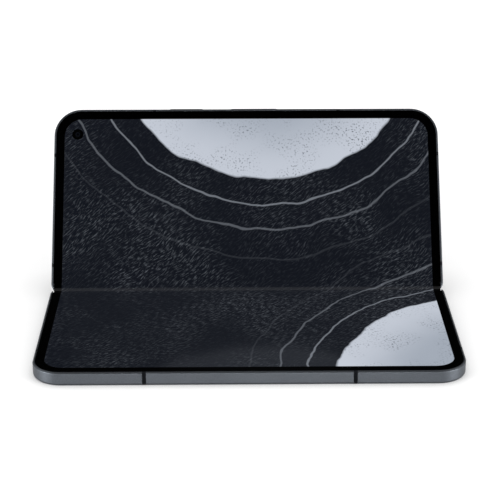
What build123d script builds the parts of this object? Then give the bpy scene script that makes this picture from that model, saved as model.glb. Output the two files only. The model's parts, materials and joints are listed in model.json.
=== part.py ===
from build123d import *
import math
import os

# A book-style folding phone standing half open on its cover screen.
#
# Everything is drawn with the phone lying flat and fully open, millimetres, +Z up:
# X runs along the hinge, Y across it, and the hinge's centre line is Y = 0.
# One half is drawn on the +Y side; the lower half is the same drawing turned to the -Y side.
# The last section turns the spine and the upper half to the half-open pose, and moves the
# whole phone so that its origin is the centre of the lower half's outer face.

# ------------------------------------------------------------------ outside sizes
width = 155.2  # along the hinge
half_length = 75.1  # from the hinge's centre line to a half's outer edge
thickness = 5.1  # one half, from its outer glass to the face of its bezel
closed_gap = 0.3  # between the two bezels when the phone is shut
open_angle = 124.8  # angle between the two screens in the pose drawn
corner_radius = 11.0  # the four outer corners, seen from the front
notch_radius = 3.9  # the halves' corners at the hinge
notch_start = 3.0  # where those corners begin, from the centre line
edge_chamfer = 0.45  # round the frame's two outer edges

# ------------------------------------------------------------------ a half, in layers
glass_thickness = 0.55  # outer glass, flush with the frame
glass_margin = 0.9  # frame that shows round the outer glass
glass_start = 5.2  # the glass ends this far from the centre line
wall = 2.2  # frame's side wall, between the glass and the mid plate
rim = 0.85  # bare metal round the inner screen
mid_plate = 0.5  # the plate that carries the inner screen
display_thickness = 0.9  # rigid stretch of the inner screen with its backing
bezel_thickness = 0.2
bezel_proud = 0.1  # the bezel stands this far above the metal rim
bezel_width = 3.3
screen_corner = 7.3  # corners of the lit area
slip = 0.1  # clearance of a part dropped into a pocket

# ------------------------------------------------------------------ hinge
axis_reach = 1.22  # each fold axis, from the centre line
hinge_gap = 0.1  # each frame's end face, from the centre line
spine_end_gap = 0.3  # spine to the frames' end walls
end_wall = 2.7  # frame's walls that close the spine's ends
spine_depth = 3.25  # below the fold axes
spine_wall = 0.5
spine_lip = 1.0  # the spine's side walls stop this far below the fold axes
lip_clearance = 0.13  # spine to the frame's thin hinge lip
bay_floor_start = 5.0  # the frame's floor thickens here
bay_floor = 1.2  # top of the floor that carries the hinge arms
bay_end = 10.85  # the mid plate starts here
rail = 1.35  # wall between the hinge bay and the parts behind it
bend_thickness = 0.35  # the flexible stretch of the inner screen
bend_radius = 4.0  # its upper face at the centre line, half open

swing_modules = (-48.0, 0.0, 48.0)  # places of the arc-slot modules along X
swing_block = 14.0  # length of one along X
tongue_inner = 2.15  # arc tongue, from its fold axis
tongue_outer = 2.65
tongue_length = 5.0  # along X
tongue_offset = 1.1  # along X, from the middle of its module
tongue_wrap = 115.0  # where the tongue ends, in degrees below the horizontal
tongue_root = 6.0  # and where it starts
tongue_overrun = 8.0  # degrees of free groove past its end
tongue_slip = 0.05
arm_floor = 0.7  # thickness of the arm's foot
arm_foot_end = 10.6
arm_foot_length = 11.9  # along X
arm_riser = 1.0
bridge_top = 0.25  # below the fold axes
bridge_thickness = 0.6
screw_radius = 0.7
screw_head_radius = 1.15
screw_head = 0.35
screw_slip = 0.04
screw_inset = 1.6  # from the foot's two ends, and twice that from its free side
small_sides = 8  # flats of the hinge's screws, shafts and bores, too small to need rounds
seat_gap = 0.02  # under the blocks that are fixed in the spine

gear_modules = (-24.0, 24.0)  # places of the gear modules along X
gear_teeth = 10
gear_pitch_radius = 0.75
gear_addendum = 0.12
gear_dedendum = 0.15
gear_width = 3.0
gear_depth = 1.75  # the idlers' shafts, below the fold axes
gear_rise = 20.0  # degrees, from an idler up to the gear of its arm
tooth_tip = 4.0  # half angle of a tooth at its tip, degrees
tooth_root = 9.5  # and at its root
shaft_radius = 0.3
shaft_slip = 0.03
lever_hub = 0.62
lever_width = 3.0
lever_gap = 0.3  # along X, gear to lever
lever_top = 0.45  # below the fold axes
lever_thickness = 0.4
lever_reach = 8.5  # from the centre line
carrier = 1.4  # blocks that hold the shafts
carrier_top = 0.6  # below the fold axes
guide_end = 10.4
guide_cheek = 0.9
guide_floor = 2.7
guide_top = 3.4

wing_thickness = 0.45  # plates that carry the screen beside the bend
wing_start = 3.2
wing_pivot = 11.0  # from the centre line
wing_share = 10 / 90  # a wing tilts this much for each degree of fold
wing_slip = 0.05
wing_inset = 1.9  # each end of a wing plate, from the end of the hinge bay

# ------------------------------------------------------------------ edge features
strip_width = 1.4  # plastic breaks in the metal frame
strip_depth = 1.0
strip_inset = 40.3  # those of the outer edge, from the sides
strip_near = 10.4  # those of the sides, from the centre line
strip_far = 19.3  # and from the outer edge

power_x = -24.4
power_length = 14.0
volume_x = 3.15
volume_length = 19.5
button_height = 2.2
button_proud = 0.5
button_z = 2.55
button_slip = 0.12
button_depth = 2.45  # from its outer face to its inner end
button_travel = 0.25
switch_length = 3.2
switch_depth = 1.1

usb_z = 2.3
usb_width = 8.34  # mouth of the socket, inside
usb_height = 2.56
usb_shell = 0.25
usb_depth = 7.4
usb_tongue = (6.7, 0.7, 4.45)
slot_count = 5  # sound slots of a loudspeaker
slot_pitch = 3.2
slot_length = 2.2
slot_height = 1.1
slot_z = 2.2
mic_radius = 0.55
mic_inset = 27.6  # from the outer edge

tray_length = 19.0  # into the phone
tray_width = 13.0  # along the edge
tray_thickness = 1.4
tray_z = 2.2
tray_slip = 0.1
tray_wall = 0.35
tray_rim = 1.1  # round the card's well, on its long sides
tray_front = 3.4  # from the tray's outer face to the well
tray_back = 1.6
ejector_radius = 0.5

# ------------------------------------------------------------------ cameras
island_inset = (35.6, 18.1)  # its centre, from the phone's side and from its outer edge
island_length = 42.0
island_width = 26.0
island_corner = 9.0
island_proud = 1.3
island_slip = 0.1
lens_offsets = ((-12.0, 0.0), (1.0, 0.0), (13.5, 4.5))  # from the island's centre
lens_radius = 5.0
lens_ring = 0.8
lens_proud = 0.5
lens_recess = 0.25
flash_offset = (13.5, -6.5)  # from the island's centre
flash_radius = 1.7
rear_module = 9.6
rear_barrel_radius = 3.6
module_top = 3.3

punch_inset = (9.4, 10.5)  # from the phone's side and from its outer edge
punch_radius = 2.3
inner_camera_radius = 2.2
inner_camera_base = 6.2
inner_well = (1.36, 0.5)  # radius at the top and depth of the cone in front of its lens
cover_camera_inset = 9.6  # from the phone's side
cover_camera_radius = 1.9
cover_camera_base = 2.75
cover_camera_nose = 1.2  # height of its narrow front part

# ------------------------------------------------------------------ inside
part_gap = 0.3  # between parts that lie side by side
board_thickness = 0.6
board_z = 2.4
battery_corner = 1.5
can_corner = 1.0  # corners of the boards, the shields and the loudspeakers
battery_lift = 0.5  # battery above the outer glass
inner_near = 1.8  # batteries and shields, from the hinge bay's rail
upper_battery_left = -11.0
upper_battery_inset = (30.6, 6.1)  # from the phone's side and from its outer edge
lower_battery_inset = (39.6, 21.6, 5.1)  # from its two sides and from its outer edge
main_board_right = -17.0
main_board_far = 14.0  # its far edge, from the island's centre
shield_left = 5.6  # from the phone's side
shield_edges = (-46.0, -44.0, -29.0, -27.0, -19.0)  # the shields' other ends along X
shield_inset = 1.0  # their far edges, from the board's
short_shield_near = 6.0  # nearer edge of the third, from the others'
usb_board_inset = (27.6, 8.1, 19.1)  # its two ends from the phone's side, its far edge
lower_board_inset = (5.6, 36.6, 30.1, 5.1)  # its ends and edges, likewise
board_hole_radius = 1.2
board_hole_inset = 3.0
plug_size = (6.0, 3.0, 0.9)  # connector under a small board
plug_inset = (2.0, 3.0)
speaker_depth = 16.0  # into the phone
speaker_near = 1.1  # from the hinge bay's rail
speaker_far = 4.85  # short of the half's middle, where the socket stands
motor_inset = (25.6, 11.6, 15.1, 6.1)  # from the phone's side, and from its outer edge
motor_corner = 2.0
coil_radii = (10.0, 20.0)
coil_thickness = 0.35
magnet_insets = (46.6, 32.6, 18.6)  # their middles, from the phone's side
magnet_size = (9.0, 1.7, 1.9)
panel_thickness = 0.4
cable_x = 12.0
cable_width = 8.0
cable_thickness = 0.15
cable_z = 2.7
cable_end = 13.4
cable_fold = 6.5
cable_floor = (1.2, 0.3)  # half width and height of its dip in the spine
cable_radius = 1.0

# ------------------------------------------------------------------ worked out
half_width = width / 2
fold_z = thickness + closed_gap / 2 - axis_reach
frame_top = thickness - bezel_proud
display_top = thickness - bezel_thickness
pocket_floor = display_top - display_thickness
cavity_top = pocket_floor - mid_plate
lip_top = fold_z - spine_depth - lip_clearance
bay_half = half_width - end_wall
spine_half = bay_half - spine_end_gap
rail_end = bay_end + rail
cavity_far = half_length - wall
half_fold = (180 - open_angle) / 2
wing_top = display_top - bend_thickness - wing_slip
wing_z = wing_top - wing_thickness / 2
gear_tip = gear_pitch_radius + gear_addendum
gear_root = gear_pitch_radius - gear_dedendum
idler_z = fold_z - gear_depth
arm_gear_y = gear_pitch_radius + 2 * gear_pitch_radius * math.cos(math.radians(gear_rise))
arm_gear_z = idler_z + 2 * gear_pitch_radius * math.sin(math.radians(gear_rise))
tooth_pitch = 360 / gear_teeth
wing_length = 2 * (bay_half - wing_inset)
strip_edge_x = half_width - strip_inset
strip_side_y = (strip_near, half_length - strip_far)

middle_y = half_length / 2  # the socket, the tray, the coil and the cover camera
usb_y = middle_y
tray_y = middle_y
cover_camera_y = middle_y
cover_camera_x = cover_camera_inset - half_width
mic_y = half_length - mic_inset
speaker_edges = (rail_end + speaker_near, middle_y - speaker_far)
sound_y = sum(speaker_edges) / 2
island_x = island_inset[0] - half_width
island_y = half_length - island_inset[1]
lens_places = tuple((island_x + x, island_y + y) for x, y in lens_offsets)
flash_place = (island_x + flash_offset[0], island_y + flash_offset[1])
punch_x = punch_inset[0] - half_width
punch_y = half_length - punch_inset[1]

near_y = rail_end + inner_near
board_far_y = island_y - main_board_far
upper_battery_span = ((upper_battery_left, half_width - upper_battery_inset[0]),
                      (near_y, half_length - upper_battery_inset[1]))
lower_battery_span = ((lower_battery_inset[0] - half_width, half_width - lower_battery_inset[1]),
                      (near_y, half_length - lower_battery_inset[2]))
shield_far_y = board_far_y - shield_inset
shield_spans = (((shield_left - half_width, shield_edges[0]), (near_y, shield_far_y)),
                ((shield_edges[1], shield_edges[2]), (near_y, shield_far_y)),
                ((shield_edges[3], shield_edges[4]), (near_y + short_shield_near, shield_far_y)))
usb_board_span = ((half_width - usb_board_inset[0], half_width - usb_board_inset[1]),
                  (speaker_edges[1] + part_gap, half_length - usb_board_inset[2]))
lower_board_span = ((lower_board_inset[0] - half_width, lower_board_inset[1] - half_width),
                    (half_length - lower_board_inset[2], half_length - lower_board_inset[3]))
motor_span = ((half_width - motor_inset[0], half_width - motor_inset[1]),
              (half_length - motor_inset[2], half_length - motor_inset[3]))
coil_place = (sum(upper_battery_span[0]) / 2, middle_y)
magnet_x = tuple(half_width - inset for inset in magnet_insets)

PARTS = {}


# ------------------------------------------------------------------ drawing helpers
def block(x0, x1, y0, y1, z0, z1):
    """A straight-sided block between two opposite corners."""
    return Pos((x0 + x1) / 2, (y0 + y1) / 2, (z0 + z1) / 2) * Box(x1 - x0, y1 - y0, z1 - z0)


def soft_block(x0, x1, y0, y1, z0, z1, radius):
    """A block with its four upright edges rounded."""
    solid = block(x0, x1, y0, y1, z0, z1)
    return fillet(solid.edges().filter_by(Axis.Z), radius)


def cut_block(x0, x1, y0, y1, z0, z1, corner):
    """A block with its four upright edges cut off."""
    solid = block(x0, x1, y0, y1, z0, z1)
    return chamfer(solid.edges().filter_by(Axis.Z), corner)


def disc(x, y, radius, z0, z1):
    """An upright cylinder."""
    return Pos(x, y, (z0 + z1) / 2) * Cylinder(radius, z1 - z0)


def bar(y, z, radius, x0, x1):
    """A round bar along X."""
    return Pos((x0 + x1) / 2, y, z) * Rot(0, 90, 0) * Cylinder(radius, x1 - x0)


def small_round(radius):
    """The section of a small screw, shaft or bore, with flats in place of its round."""
    return RegularPolygon(radius, small_sides)


def small_bore(radius):
    """A bore round a shaft that turns in it, so its flats clear the shaft's corners."""
    return RegularPolygon(radius, small_sides, major_radius=False)


def peg(x, y, radius, z0, z1):
    """An upright bar of a small round's section."""
    return Pos(x, y, z0) * extrude(small_round(radius), z1 - z0)


def along_x(face, x0, x1):
    """A profile drawn in (Y, Z), drawn out along X."""
    return Pos(x0, 0, 0) * extrude(Plane.YZ * face, x1 - x0)


def ring_sector(y, z, inner, outer, start, end):
    """Part of a ring in the (Y, Z) plane, between two angles in degrees."""
    rim_arc = CenterArc((y, z), outer, start, end - start)
    bore_arc = CenterArc((y, z), inner, start, end - start)
    ends = [Line(rim_arc @ 0, bore_arc @ 0), Line(rim_arc @ 1, bore_arc @ 1)]
    return make_face([rim_arc, bore_arc] + ends)


def half_turn(solid, x):
    """The same part for the other half: turned half a turn about an upright line at x."""
    return Pos(x, 0, 0) * Rot(0, 0, 180) * Pos(-x, 0, 0) * solid


def mirrored(solid):
    """A part of the lower half, drawn on the upper half's side of the hinge."""
    return mirror(solid, about=Plane.XZ)


def add(name, body, *solids):
    """Put solids of the flat drawing into a named part, carried by a body."""
    PARTS.setdefault(name, (body, []))[1].extend(solids)


# ------------------------------------------------------------------ a half's casing
def half_face(inset, near):
    """Plan of a half, drawn inwards by an inset, from a line near the hinge to its far edge."""
    far = half_length - inset
    reach = half_width - inset
    face = Pos(0, (near + far) / 2) * Rectangle(2 * reach, far - near)
    return fillet(face.vertices().group_by(Axis.Y)[-1], corner_radius - inset)


def notched_face():
    """Plan of the frame: its corners at the hinge are cut by short arcs."""
    face = half_face(0, hinge_gap)
    for side in (-1, 1):
        centre = side * (half_width - notch_radius)
        corner = Pos(centre + side * notch_radius / 2, notch_start / 2)
        square = corner * Rectangle(notch_radius, notch_start)
        face -= square - Pos(centre, notch_start) * Circle(notch_radius)
    return face


def frame_blank():
    """The frame's outside: flat sides with a chamfer round both edges."""
    body = extrude(notched_face(), frame_top)
    ends = body.edges().group_by(Axis.Z)
    edges = [e for e in ends[0] + ends[-1] if e.center().Y > hinge_gap + slip / 2]
    return chamfer(edges, edge_chamfer)


def half_frame():
    """The metal frame of a half, with the screen's pocket, the hinge bay and the inner cavity."""
    frame = frame_blank()
    pocket = extrude(half_face(rim, -1), thickness)
    frame -= Pos(0, 0, pocket_floor) * pocket
    frame -= block(-width, width, -1, axis_reach - bend_thickness, pocket_floor, thickness)
    frame -= block(-bay_half, bay_half, -1, bay_floor_start, lip_top, thickness)
    frame -= block(-bay_half, bay_half, 0, bay_end, bay_floor, thickness)
    cavity = half_face(wall, rail_end)
    frame -= Pos(0, 0, glass_thickness) * extrude(cavity, cavity_top - glass_thickness)
    frame -= Pos(0, 0, -1) * extrude(half_face(glass_margin, glass_start), 1 + glass_thickness)
    return frame


def strip_slabs():
    """Slabs that mark the plastic breaks of the frame's outer wall."""
    far = half_length - strip_depth
    slabs = [
        block(s * strip_edge_x - strip_width / 2, s * strip_edge_x + strip_width / 2,
              far, half_length + 1, -1, thickness)
        for s in (-1, 1)
    ]
    for side in (-1, 1):
        inner = side * (half_width - strip_depth)
        outer = side * (half_width + 1)
        for y in strip_side_y:
            slabs.append(block(min(inner, outer), max(inner, outer),
                               y - strip_width / 2, y + strip_width / 2, -1, thickness))
    return slabs


def outer_glass():
    """The glass over a half's outer face."""
    face = half_face(glass_margin + slip, glass_start + slip)
    return extrude(face, glass_thickness - slip / 2)


def bezel():
    """The black trim glued over the inner screen's edge, open at the hinge."""
    outer = half_face(rim + slip / 2, notch_start)
    lit_reach = half_width - rim - bezel_width
    lit_far = half_length - rim - bezel_width
    lit = Pos(0, lit_far / 2) * Rectangle(2 * lit_reach, lit_far)
    lit = fillet(lit.vertices().group_by(Axis.Y)[-1], screen_corner)
    return Pos(0, 0, display_top) * extrude(outer - lit, bezel_thickness)


def rigid_display():
    """The stretch of the inner screen that stays flat on its half."""
    face = half_face(rim + slip, wing_pivot + part_gap)
    return Pos(0, 0, pocket_floor) * extrude(face, display_thickness)


# ------------------------------------------------------------------ openings in the frames
def stadium_x(x0, x1, y, z, length, height):
    """A slot with round ends, cut through a side wall along X."""
    face = Pos(y, z) * SlotOverall(length, height)
    return along_x(face, x0, x1)


def stadium_y(y0, y1, x, z, length, height):
    """A slot with round ends, cut through the outer edge along Y."""
    face = Plane((x, y0, z), x_dir=(1, 0, 0), z_dir=(0, 1, 0)) * SlotOverall(length, height)
    return extrude(face, y1 - y0)


def sound_slots(x0, x1, centre_y):
    """The row of slots in front of a loudspeaker."""
    first = centre_y - slot_pitch * (slot_count - 1) / 2
    return [
        stadium_x(x0, x1, first + k * slot_pitch, slot_z, slot_length, slot_height)
        for k in range(slot_count)
    ]


def usb_envelope(extra):
    """The outside of the charging socket, drawn larger by a clearance."""
    outer_width = usb_width + 2 * (usb_shell + extra)
    outer_height = usb_height + 2 * (usb_shell + extra)
    x0 = half_width - edge_chamfer / 4 - usb_depth
    return stadium_x(x0 - extra, half_width + 1, usb_y, usb_z, outer_width, outer_height)


def usb_socket():
    """The charging socket: a drawn shell with its back wall and its contact tongue."""
    shell = usb_envelope(0) & block(0, half_width - edge_chamfer / 4, 0, half_length, 0, thickness)
    floor_x = half_width - edge_chamfer / 4 - usb_depth + usb_shell
    mouth = stadium_x(floor_x, half_width + 1, usb_y, usb_z, usb_width, usb_height)
    tongue_width, tongue_thickness, tongue_reach = usb_tongue
    tongue = block(floor_x - usb_shell / 2, floor_x + tongue_reach,
                   usb_y - tongue_width / 2, usb_y + tongue_width / 2,
                   usb_z - tongue_thickness / 2, usb_z + tongue_thickness / 2)
    return shell - mouth + tongue


# ------------------------------------------------------------------ buttons
def side_button(x, length):
    """A side button with round ends, its outer edge eased."""
    outer = half_length + button_proud
    cap = stadium_y(outer - button_depth, outer, x, button_z, length, button_height)
    return chamfer(cap.faces().sort_by(Axis.Y)[-1].edges(), button_proud / 3)


def button_slot(x, length):
    """The slot in the frame's outer wall that a side button moves in."""
    return stadium_y(cavity_far - 1, half_length + 1, x, button_z,
                     length + 2 * button_slip, button_height + 2 * button_slip)


def button_switches():
    """Dome switches on the side of the main flex, behind the buttons."""
    outer = half_length + button_proud - button_depth - button_travel - slip
    inner = outer - switch_depth
    places = (power_x, volume_x - volume_length / 3, volume_x + volume_length / 3)
    return [
        block(x - switch_length / 2, x + switch_length / 2, inner, outer,
              button_z - button_height / 2, button_z + button_height / 3)
        for x in places
    ]


# ------------------------------------------------------------------ SIM tray
def tray_outline(extra):
    """The tray's envelope along X, drawn larger by a clearance."""
    return block(half_width - tray_length - extra, half_width + extra,
                 tray_y - tray_width / 2 - extra, tray_y + tray_width / 2 + extra,
                 tray_z - tray_thickness / 2 - extra, tray_z + tray_thickness / 2 + extra)


def sim_tray():
    """The tray with its well for one card, and its outer face flush with the frame."""
    tray = tray_outline(0)
    well_half = tray_width / 2 - tray_rim
    well = block(half_width - tray_length + tray_back, half_width - tray_front,
                 tray_y - well_half, tray_y + well_half, tray_z - tray_thickness / 4, thickness)
    return tray - well


def sim_slot():
    """The sheet-metal shell that the tray slides into."""
    inner_end = half_width - wall
    shell = tray_outline(tray_slip + tray_wall)
    shell &= block(0, inner_end - slip, 0, half_length, 0, thickness)
    return shell - Pos(1, 0, 0) * tray_outline(tray_slip) - tray_outline(tray_slip)


# ------------------------------------------------------------------ inside parts
def battery(span):
    """A pouch cell in the cavity."""
    (x0, x1), (y0, y1) = span
    low = glass_thickness + battery_lift
    return soft_block(x0, x1, y0, y1, low, cavity_top - slip, battery_corner)


def board(span):
    """A small circuit board with one connector under it."""
    (x0, x1), (y0, y1) = span
    plate = cut_block(x0, x1, y0, y1, board_z, board_z + board_thickness, can_corner)
    length, width_across, height = plug_size
    plug_x = x0 + plug_inset[0]
    plug_y = y0 + plug_inset[1]
    return plate + block(plug_x, plug_x + length, plug_y, plug_y + width_across,
                         board_z - height, board_z)


def speaker(side):
    """A loudspeaker box behind its row of slots."""
    outer = side * (half_width - wall - slip)
    inner = outer - side * speaker_depth
    near, far = speaker_edges
    return cut_block(min(inner, outer), max(inner, outer), near, far,
                     glass_thickness + battery_lift, cavity_top - slip, can_corner)


def charging_coil():
    """The flat winding behind the upper half's glass."""
    inner, outer = coil_radii
    x, y = coil_place
    low = glass_thickness + slip / 2
    return disc(x, y, outer, low, low + coil_thickness) - disc(x, y, inner, 0, thickness)


def magnets():
    """Bar magnets that hold the halves shut."""
    length, depth, height = magnet_size
    far = cavity_far - slip
    low = glass_thickness + battery_lift
    return [block(x - length / 2, x + length / 2, far - depth, far, low, low + height)
            for x in magnet_x]


def inner_camera():
    """The camera under the inner screen: its housing and a barrel up into the punched hole."""
    half = inner_camera_base / 2
    housing = block(punch_x - half, punch_x + half, punch_y - half, punch_y + half,
                    glass_thickness + battery_lift, cavity_top - slip)
    barrel = disc(punch_x, punch_y, inner_camera_radius, cavity_top - 1, display_top - slip)
    radius, depth = inner_well
    well = Pos(punch_x, punch_y, display_top - slip - depth / 2) * Cone(radius / 3, radius, depth)
    return housing + barrel - well


def cover_camera():
    """The camera behind the cover glass."""
    low = glass_thickness + slip / 2
    step = low + cover_camera_nose
    barrel = disc(cover_camera_x, cover_camera_y, cover_camera_radius, low, step)
    return barrel + disc(cover_camera_x, cover_camera_y, cover_camera_base, step,
                         cavity_top - slip)


def cover_panel():
    """The cover screen's panel, glued inside the outer glass, with its camera hole."""
    face = half_face(wall + part_gap, rail_end + part_gap)
    panel = Pos(0, 0, glass_thickness) * extrude(face, panel_thickness)
    return panel - disc(cover_camera_x, cover_camera_y, cover_camera_radius + slip, 0, thickness)


def lens_ring_solid(place):
    """One lens surround, standing on the island."""
    x, y = place
    face_z = -island_proud
    ring = disc(x, y, lens_radius + lens_ring, face_z - lens_proud, face_z)
    return ring - disc(x, y, lens_radius, face_z - thickness, face_z + 1)


def lens_glass(place):
    """One lens window, just inside its surround."""
    x, y = place
    low = -island_proud - lens_proud + lens_recess
    return disc(x, y, lens_radius - slip / 2, low, low + glass_thickness)


def camera_island():
    """The raised camera plate on the upper half's outer face."""
    x0 = island_x - island_length / 2
    y0 = island_y - island_width / 2
    plate = soft_block(x0, x0 + island_length, y0, y0 + island_width,
                       -island_proud, glass_thickness, island_corner)
    rim_edges = plate.faces().sort_by(Axis.Z)[0].edges()
    plate = chamfer(rim_edges, island_proud / 2)
    for x, y in lens_places:
        plate -= disc(x, y, lens_radius, -thickness, thickness)
    x, y = flash_place
    return plate - disc(x, y, flash_radius + slip / 2, -thickness, thickness)


def island_opening():
    """The hole for the island in the outer glass."""
    grow = island_slip
    x0 = island_x - island_length / 2 - grow
    y0 = island_y - island_width / 2 - grow
    return soft_block(x0, x0 + island_length + 2 * grow, y0, y0 + island_width + 2 * grow,
                      -1, 2, island_corner + grow)


def rear_module_solid(place):
    """One rear camera: a square housing and its barrel behind the window."""
    x, y = place
    low = -island_proud - lens_proud + lens_recess + glass_thickness + slip
    housing = block(x - rear_module / 2, x + rear_module / 2, y - rear_module / 2,
                    y + rear_module / 2, glass_thickness + slip, module_top)
    return housing + disc(x, y, rear_barrel_radius, low, module_top - 1)


def main_board():
    """The main circuit board, under the mid plate."""
    left = -half_width + wall + part_gap
    near = rail_end + part_gap
    plate = cut_block(left, main_board_right, near, board_far_y,
                      board_z, board_z + board_thickness, can_corner)
    hole_x = main_board_right - board_hole_inset
    return plate - disc(hole_x, near + board_hole_inset, board_hole_radius, 0, thickness)


def board_shields():
    """Shield cans over the board's chips."""
    low = glass_thickness + battery_lift
    return [cut_block(x0, x1, y0, y1, low, board_z, can_corner)
            for (x0, x1), (y0, y1) in shield_spans]


# ------------------------------------------------------------------ hinge: spine
def spine_profile(radius, top):
    """Section of the spine's space: two quarter rounds about the fold axes and a flat floor."""
    rounds = [Pos(s * axis_reach, fold_z) * Circle(radius) for s in (-1, 1)]
    middle = Pos(0, fold_z) * Rectangle(2 * axis_reach, 2 * radius)
    full = rounds[0] + rounds[1] + middle
    reach = 4 * radius
    return full - Pos(0, top + reach / 2) * Rectangle(2 * reach, reach)


def spine_cover():
    """The curved back cover of the hinge, seen when the phone is shut, with closed ends."""
    outer = along_x(spine_profile(spine_depth, fold_z - spine_lip), -spine_half, spine_half)
    inner_half = spine_half - spine_wall
    inner = spine_profile(spine_depth - spine_wall, fold_z)
    return outer - along_x(inner, -inner_half, inner_half)


def swing_bracket(x):
    """A block fixed in the spine, with one arc rail for each half's tongue."""
    seat = spine_depth - spine_wall - seat_gap
    top = fold_z - bridge_top - bridge_thickness
    solid = along_x(spine_profile(seat, top - slip), x - swing_block / 2, x + swing_block / 2)
    rail_cut = along_x(
        ring_sector(axis_reach, fold_z, tongue_inner - tongue_slip, spine_depth,
                    -tongue_wrap - tongue_overrun, 0),
        x + tongue_offset - tongue_slip, x + tongue_offset + tongue_length + tongue_slip)
    return solid - rail_cut - half_turn(rail_cut, x)


def swing_arm(x):
    """The upper half's arm: an arc tongue about its fold axis, a bridge and a screwed foot."""
    x0 = x + tongue_offset
    x1 = x0 + tongue_length
    tongue = along_x(
        ring_sector(axis_reach, fold_z, tongue_inner, tongue_outer, -tongue_wrap, -tongue_root),
        x0, x1)
    top = fold_z - bridge_top
    low = top - bridge_thickness
    bridge_start = axis_reach + tongue_inner + slip / 2
    riser_start = bay_floor_start + slip
    bridge = block(x0, x1, bridge_start, riser_start + arm_riser, low, top)
    riser = block(x0, x1, riser_start, riser_start + arm_riser, bay_floor, top)
    foot = block(x0, x0 + arm_foot_length, riser_start, arm_foot_end,
                 bay_floor, bay_floor + arm_floor)
    arm = tongue + bridge + riser + foot
    for sx, sy in screw_places(x):
        arm -= peg(sx, sy, screw_radius + screw_slip, 0, thickness)
    return arm


def screw_places(x):
    """Where the two screws of an arm's foot stand."""
    sx = x + tongue_offset + arm_foot_length - 2 * screw_inset
    return [(sx, bay_floor_start + slip + screw_inset), (sx, arm_foot_end - screw_inset)]


def arm_screw(place):
    """A flat-headed screw through the foot into the frame's floor."""
    x, y = place
    head_z = bay_floor + arm_floor
    shank = peg(x, y, screw_radius, glass_thickness + slip, head_z + screw_head / 2)
    return shank + peg(x, y, screw_head_radius, head_z, head_z + screw_head)


# ------------------------------------------------------------------ hinge: gears
def gear_face(phase):
    """A small spur gear's outline with straight-flanked teeth, one tooth at the phase angle."""
    corners = []
    for tooth in range(gear_teeth):
        middle = phase + tooth * tooth_pitch
        for radius, offset in ((gear_root, -tooth_root), (gear_tip, -tooth_tip),
                               (gear_tip, tooth_tip), (gear_root, tooth_root)):
            angle = math.radians(middle + offset)
            corners.append((radius * math.cos(angle), radius * math.sin(angle)))
    return make_face(Polyline(*corners, close=True)) - small_bore(shaft_radius + shaft_slip)


def meshed_phase(phase, direction):
    """The phase of a gear that meshes with one of a known phase, in a known direction."""
    return (tooth_pitch / 2 + 2 * direction + 180 - phase) % tooth_pitch


def idler_gear(x, side, phase):
    """One of the two idler gears in the middle of the spine."""
    face = Pos(side * gear_pitch_radius, idler_z) * gear_face(phase)
    return along_x(face, x - gear_width / 2, x + gear_width / 2)


def sync_arm(x, phase):
    """The upper half's gear arm: its gear, its hub and the lever that slides in the guide."""
    centre = Pos(arm_gear_y, arm_gear_z)
    gear = along_x(centre * gear_face(phase), x - gear_width / 2, x + gear_width / 2)
    x0 = x + gear_width / 2
    x1 = x0 + lever_gap + lever_width
    hub = along_x(centre * small_round(lever_hub), x0, x1)
    top = fold_z - lever_top
    lever = block(x0 + lever_gap, x1, arm_gear_y - lever_hub / 2, lever_reach,
                  top - lever_thickness, top)
    lever += block(x0 + lever_gap, x1, arm_gear_y - lever_hub / 2, arm_gear_y + lever_hub / 2,
                   arm_gear_z, top)
    bore = along_x(centre * small_bore(shaft_radius + shaft_slip), x0 - 1, x1 + 1)
    return gear + (hub + lever - bore)


def gear_shaft_places():
    """Centres of the four shafts in the (Y, Z) plane."""
    places = []
    for side in (-1, 1):
        places += [(side * gear_pitch_radius, idler_z), (side * arm_gear_y, arm_gear_z)]
    return places


def carrier_span():
    """How far a carrier's inner face stands from the middle of its gear module."""
    return gear_width / 2 + lever_gap + lever_width + slip


def gear_carrier(x):
    """The two blocks that hold the ends of a gear module's shafts."""
    seat = spine_depth - spine_wall - seat_gap
    face = spine_profile(seat, fold_z - carrier_top)
    for y, z in gear_shaft_places():
        face -= Pos(y, z) * small_round(shaft_radius)
    near = carrier_span()
    return [along_x(face, x + near, x + near + carrier), along_x(face, x - near - carrier, x - near)]


def gear_shafts(x):
    """The four shafts of a gear module."""
    reach = carrier_span() + carrier
    return [along_x(Pos(y, z) * small_round(shaft_radius), x - reach, x + reach)
            for y, z in gear_shaft_places()]


def guide_channel(x):
    """Where the two cheeks of a gear arm's guide face its lever, along X."""
    x0 = x + gear_width / 2 + lever_gap - slip
    return x0, x0 + lever_width + 2 * slip


def sync_guide(x):
    """The guide on the upper half's floor that keeps a gear arm's lever in line."""
    x0, x1 = guide_channel(x)
    near = bay_floor_start + slip
    solid = block(x0 - guide_cheek, x1 + guide_cheek, near, guide_end, bay_floor, guide_top)
    return solid - block(x0, x1, 0, guide_end + 1, guide_floor, thickness)


# ------------------------------------------------------------------ hinge: wing plates
def wing_plate():
    """The plate that carries the screen beside the bend, with windows for the arms."""
    low = wing_z - wing_thickness / 2
    plate = block(-wing_length / 2, wing_length / 2, wing_start, wing_pivot,
                  low, low + wing_thickness)
    plate += bar(wing_pivot, wing_z, wing_thickness / 2, -wing_length / 2, wing_length / 2)
    for x in swing_modules:
        x0 = x + tongue_offset - 2 * part_gap
        plate -= block(x0, x0 + tongue_length + 4 * part_gap, 0,
                       bay_floor_start + arm_riser + 3 * part_gap, 0, thickness)
    for x in gear_modules:
        x0, x1 = guide_channel(x)
        spare = guide_cheek + part_gap
        plate -= block(x0 - spare, x1 + spare, 0, lever_reach + 2 * part_gap, 0, thickness)
    return plate


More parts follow.
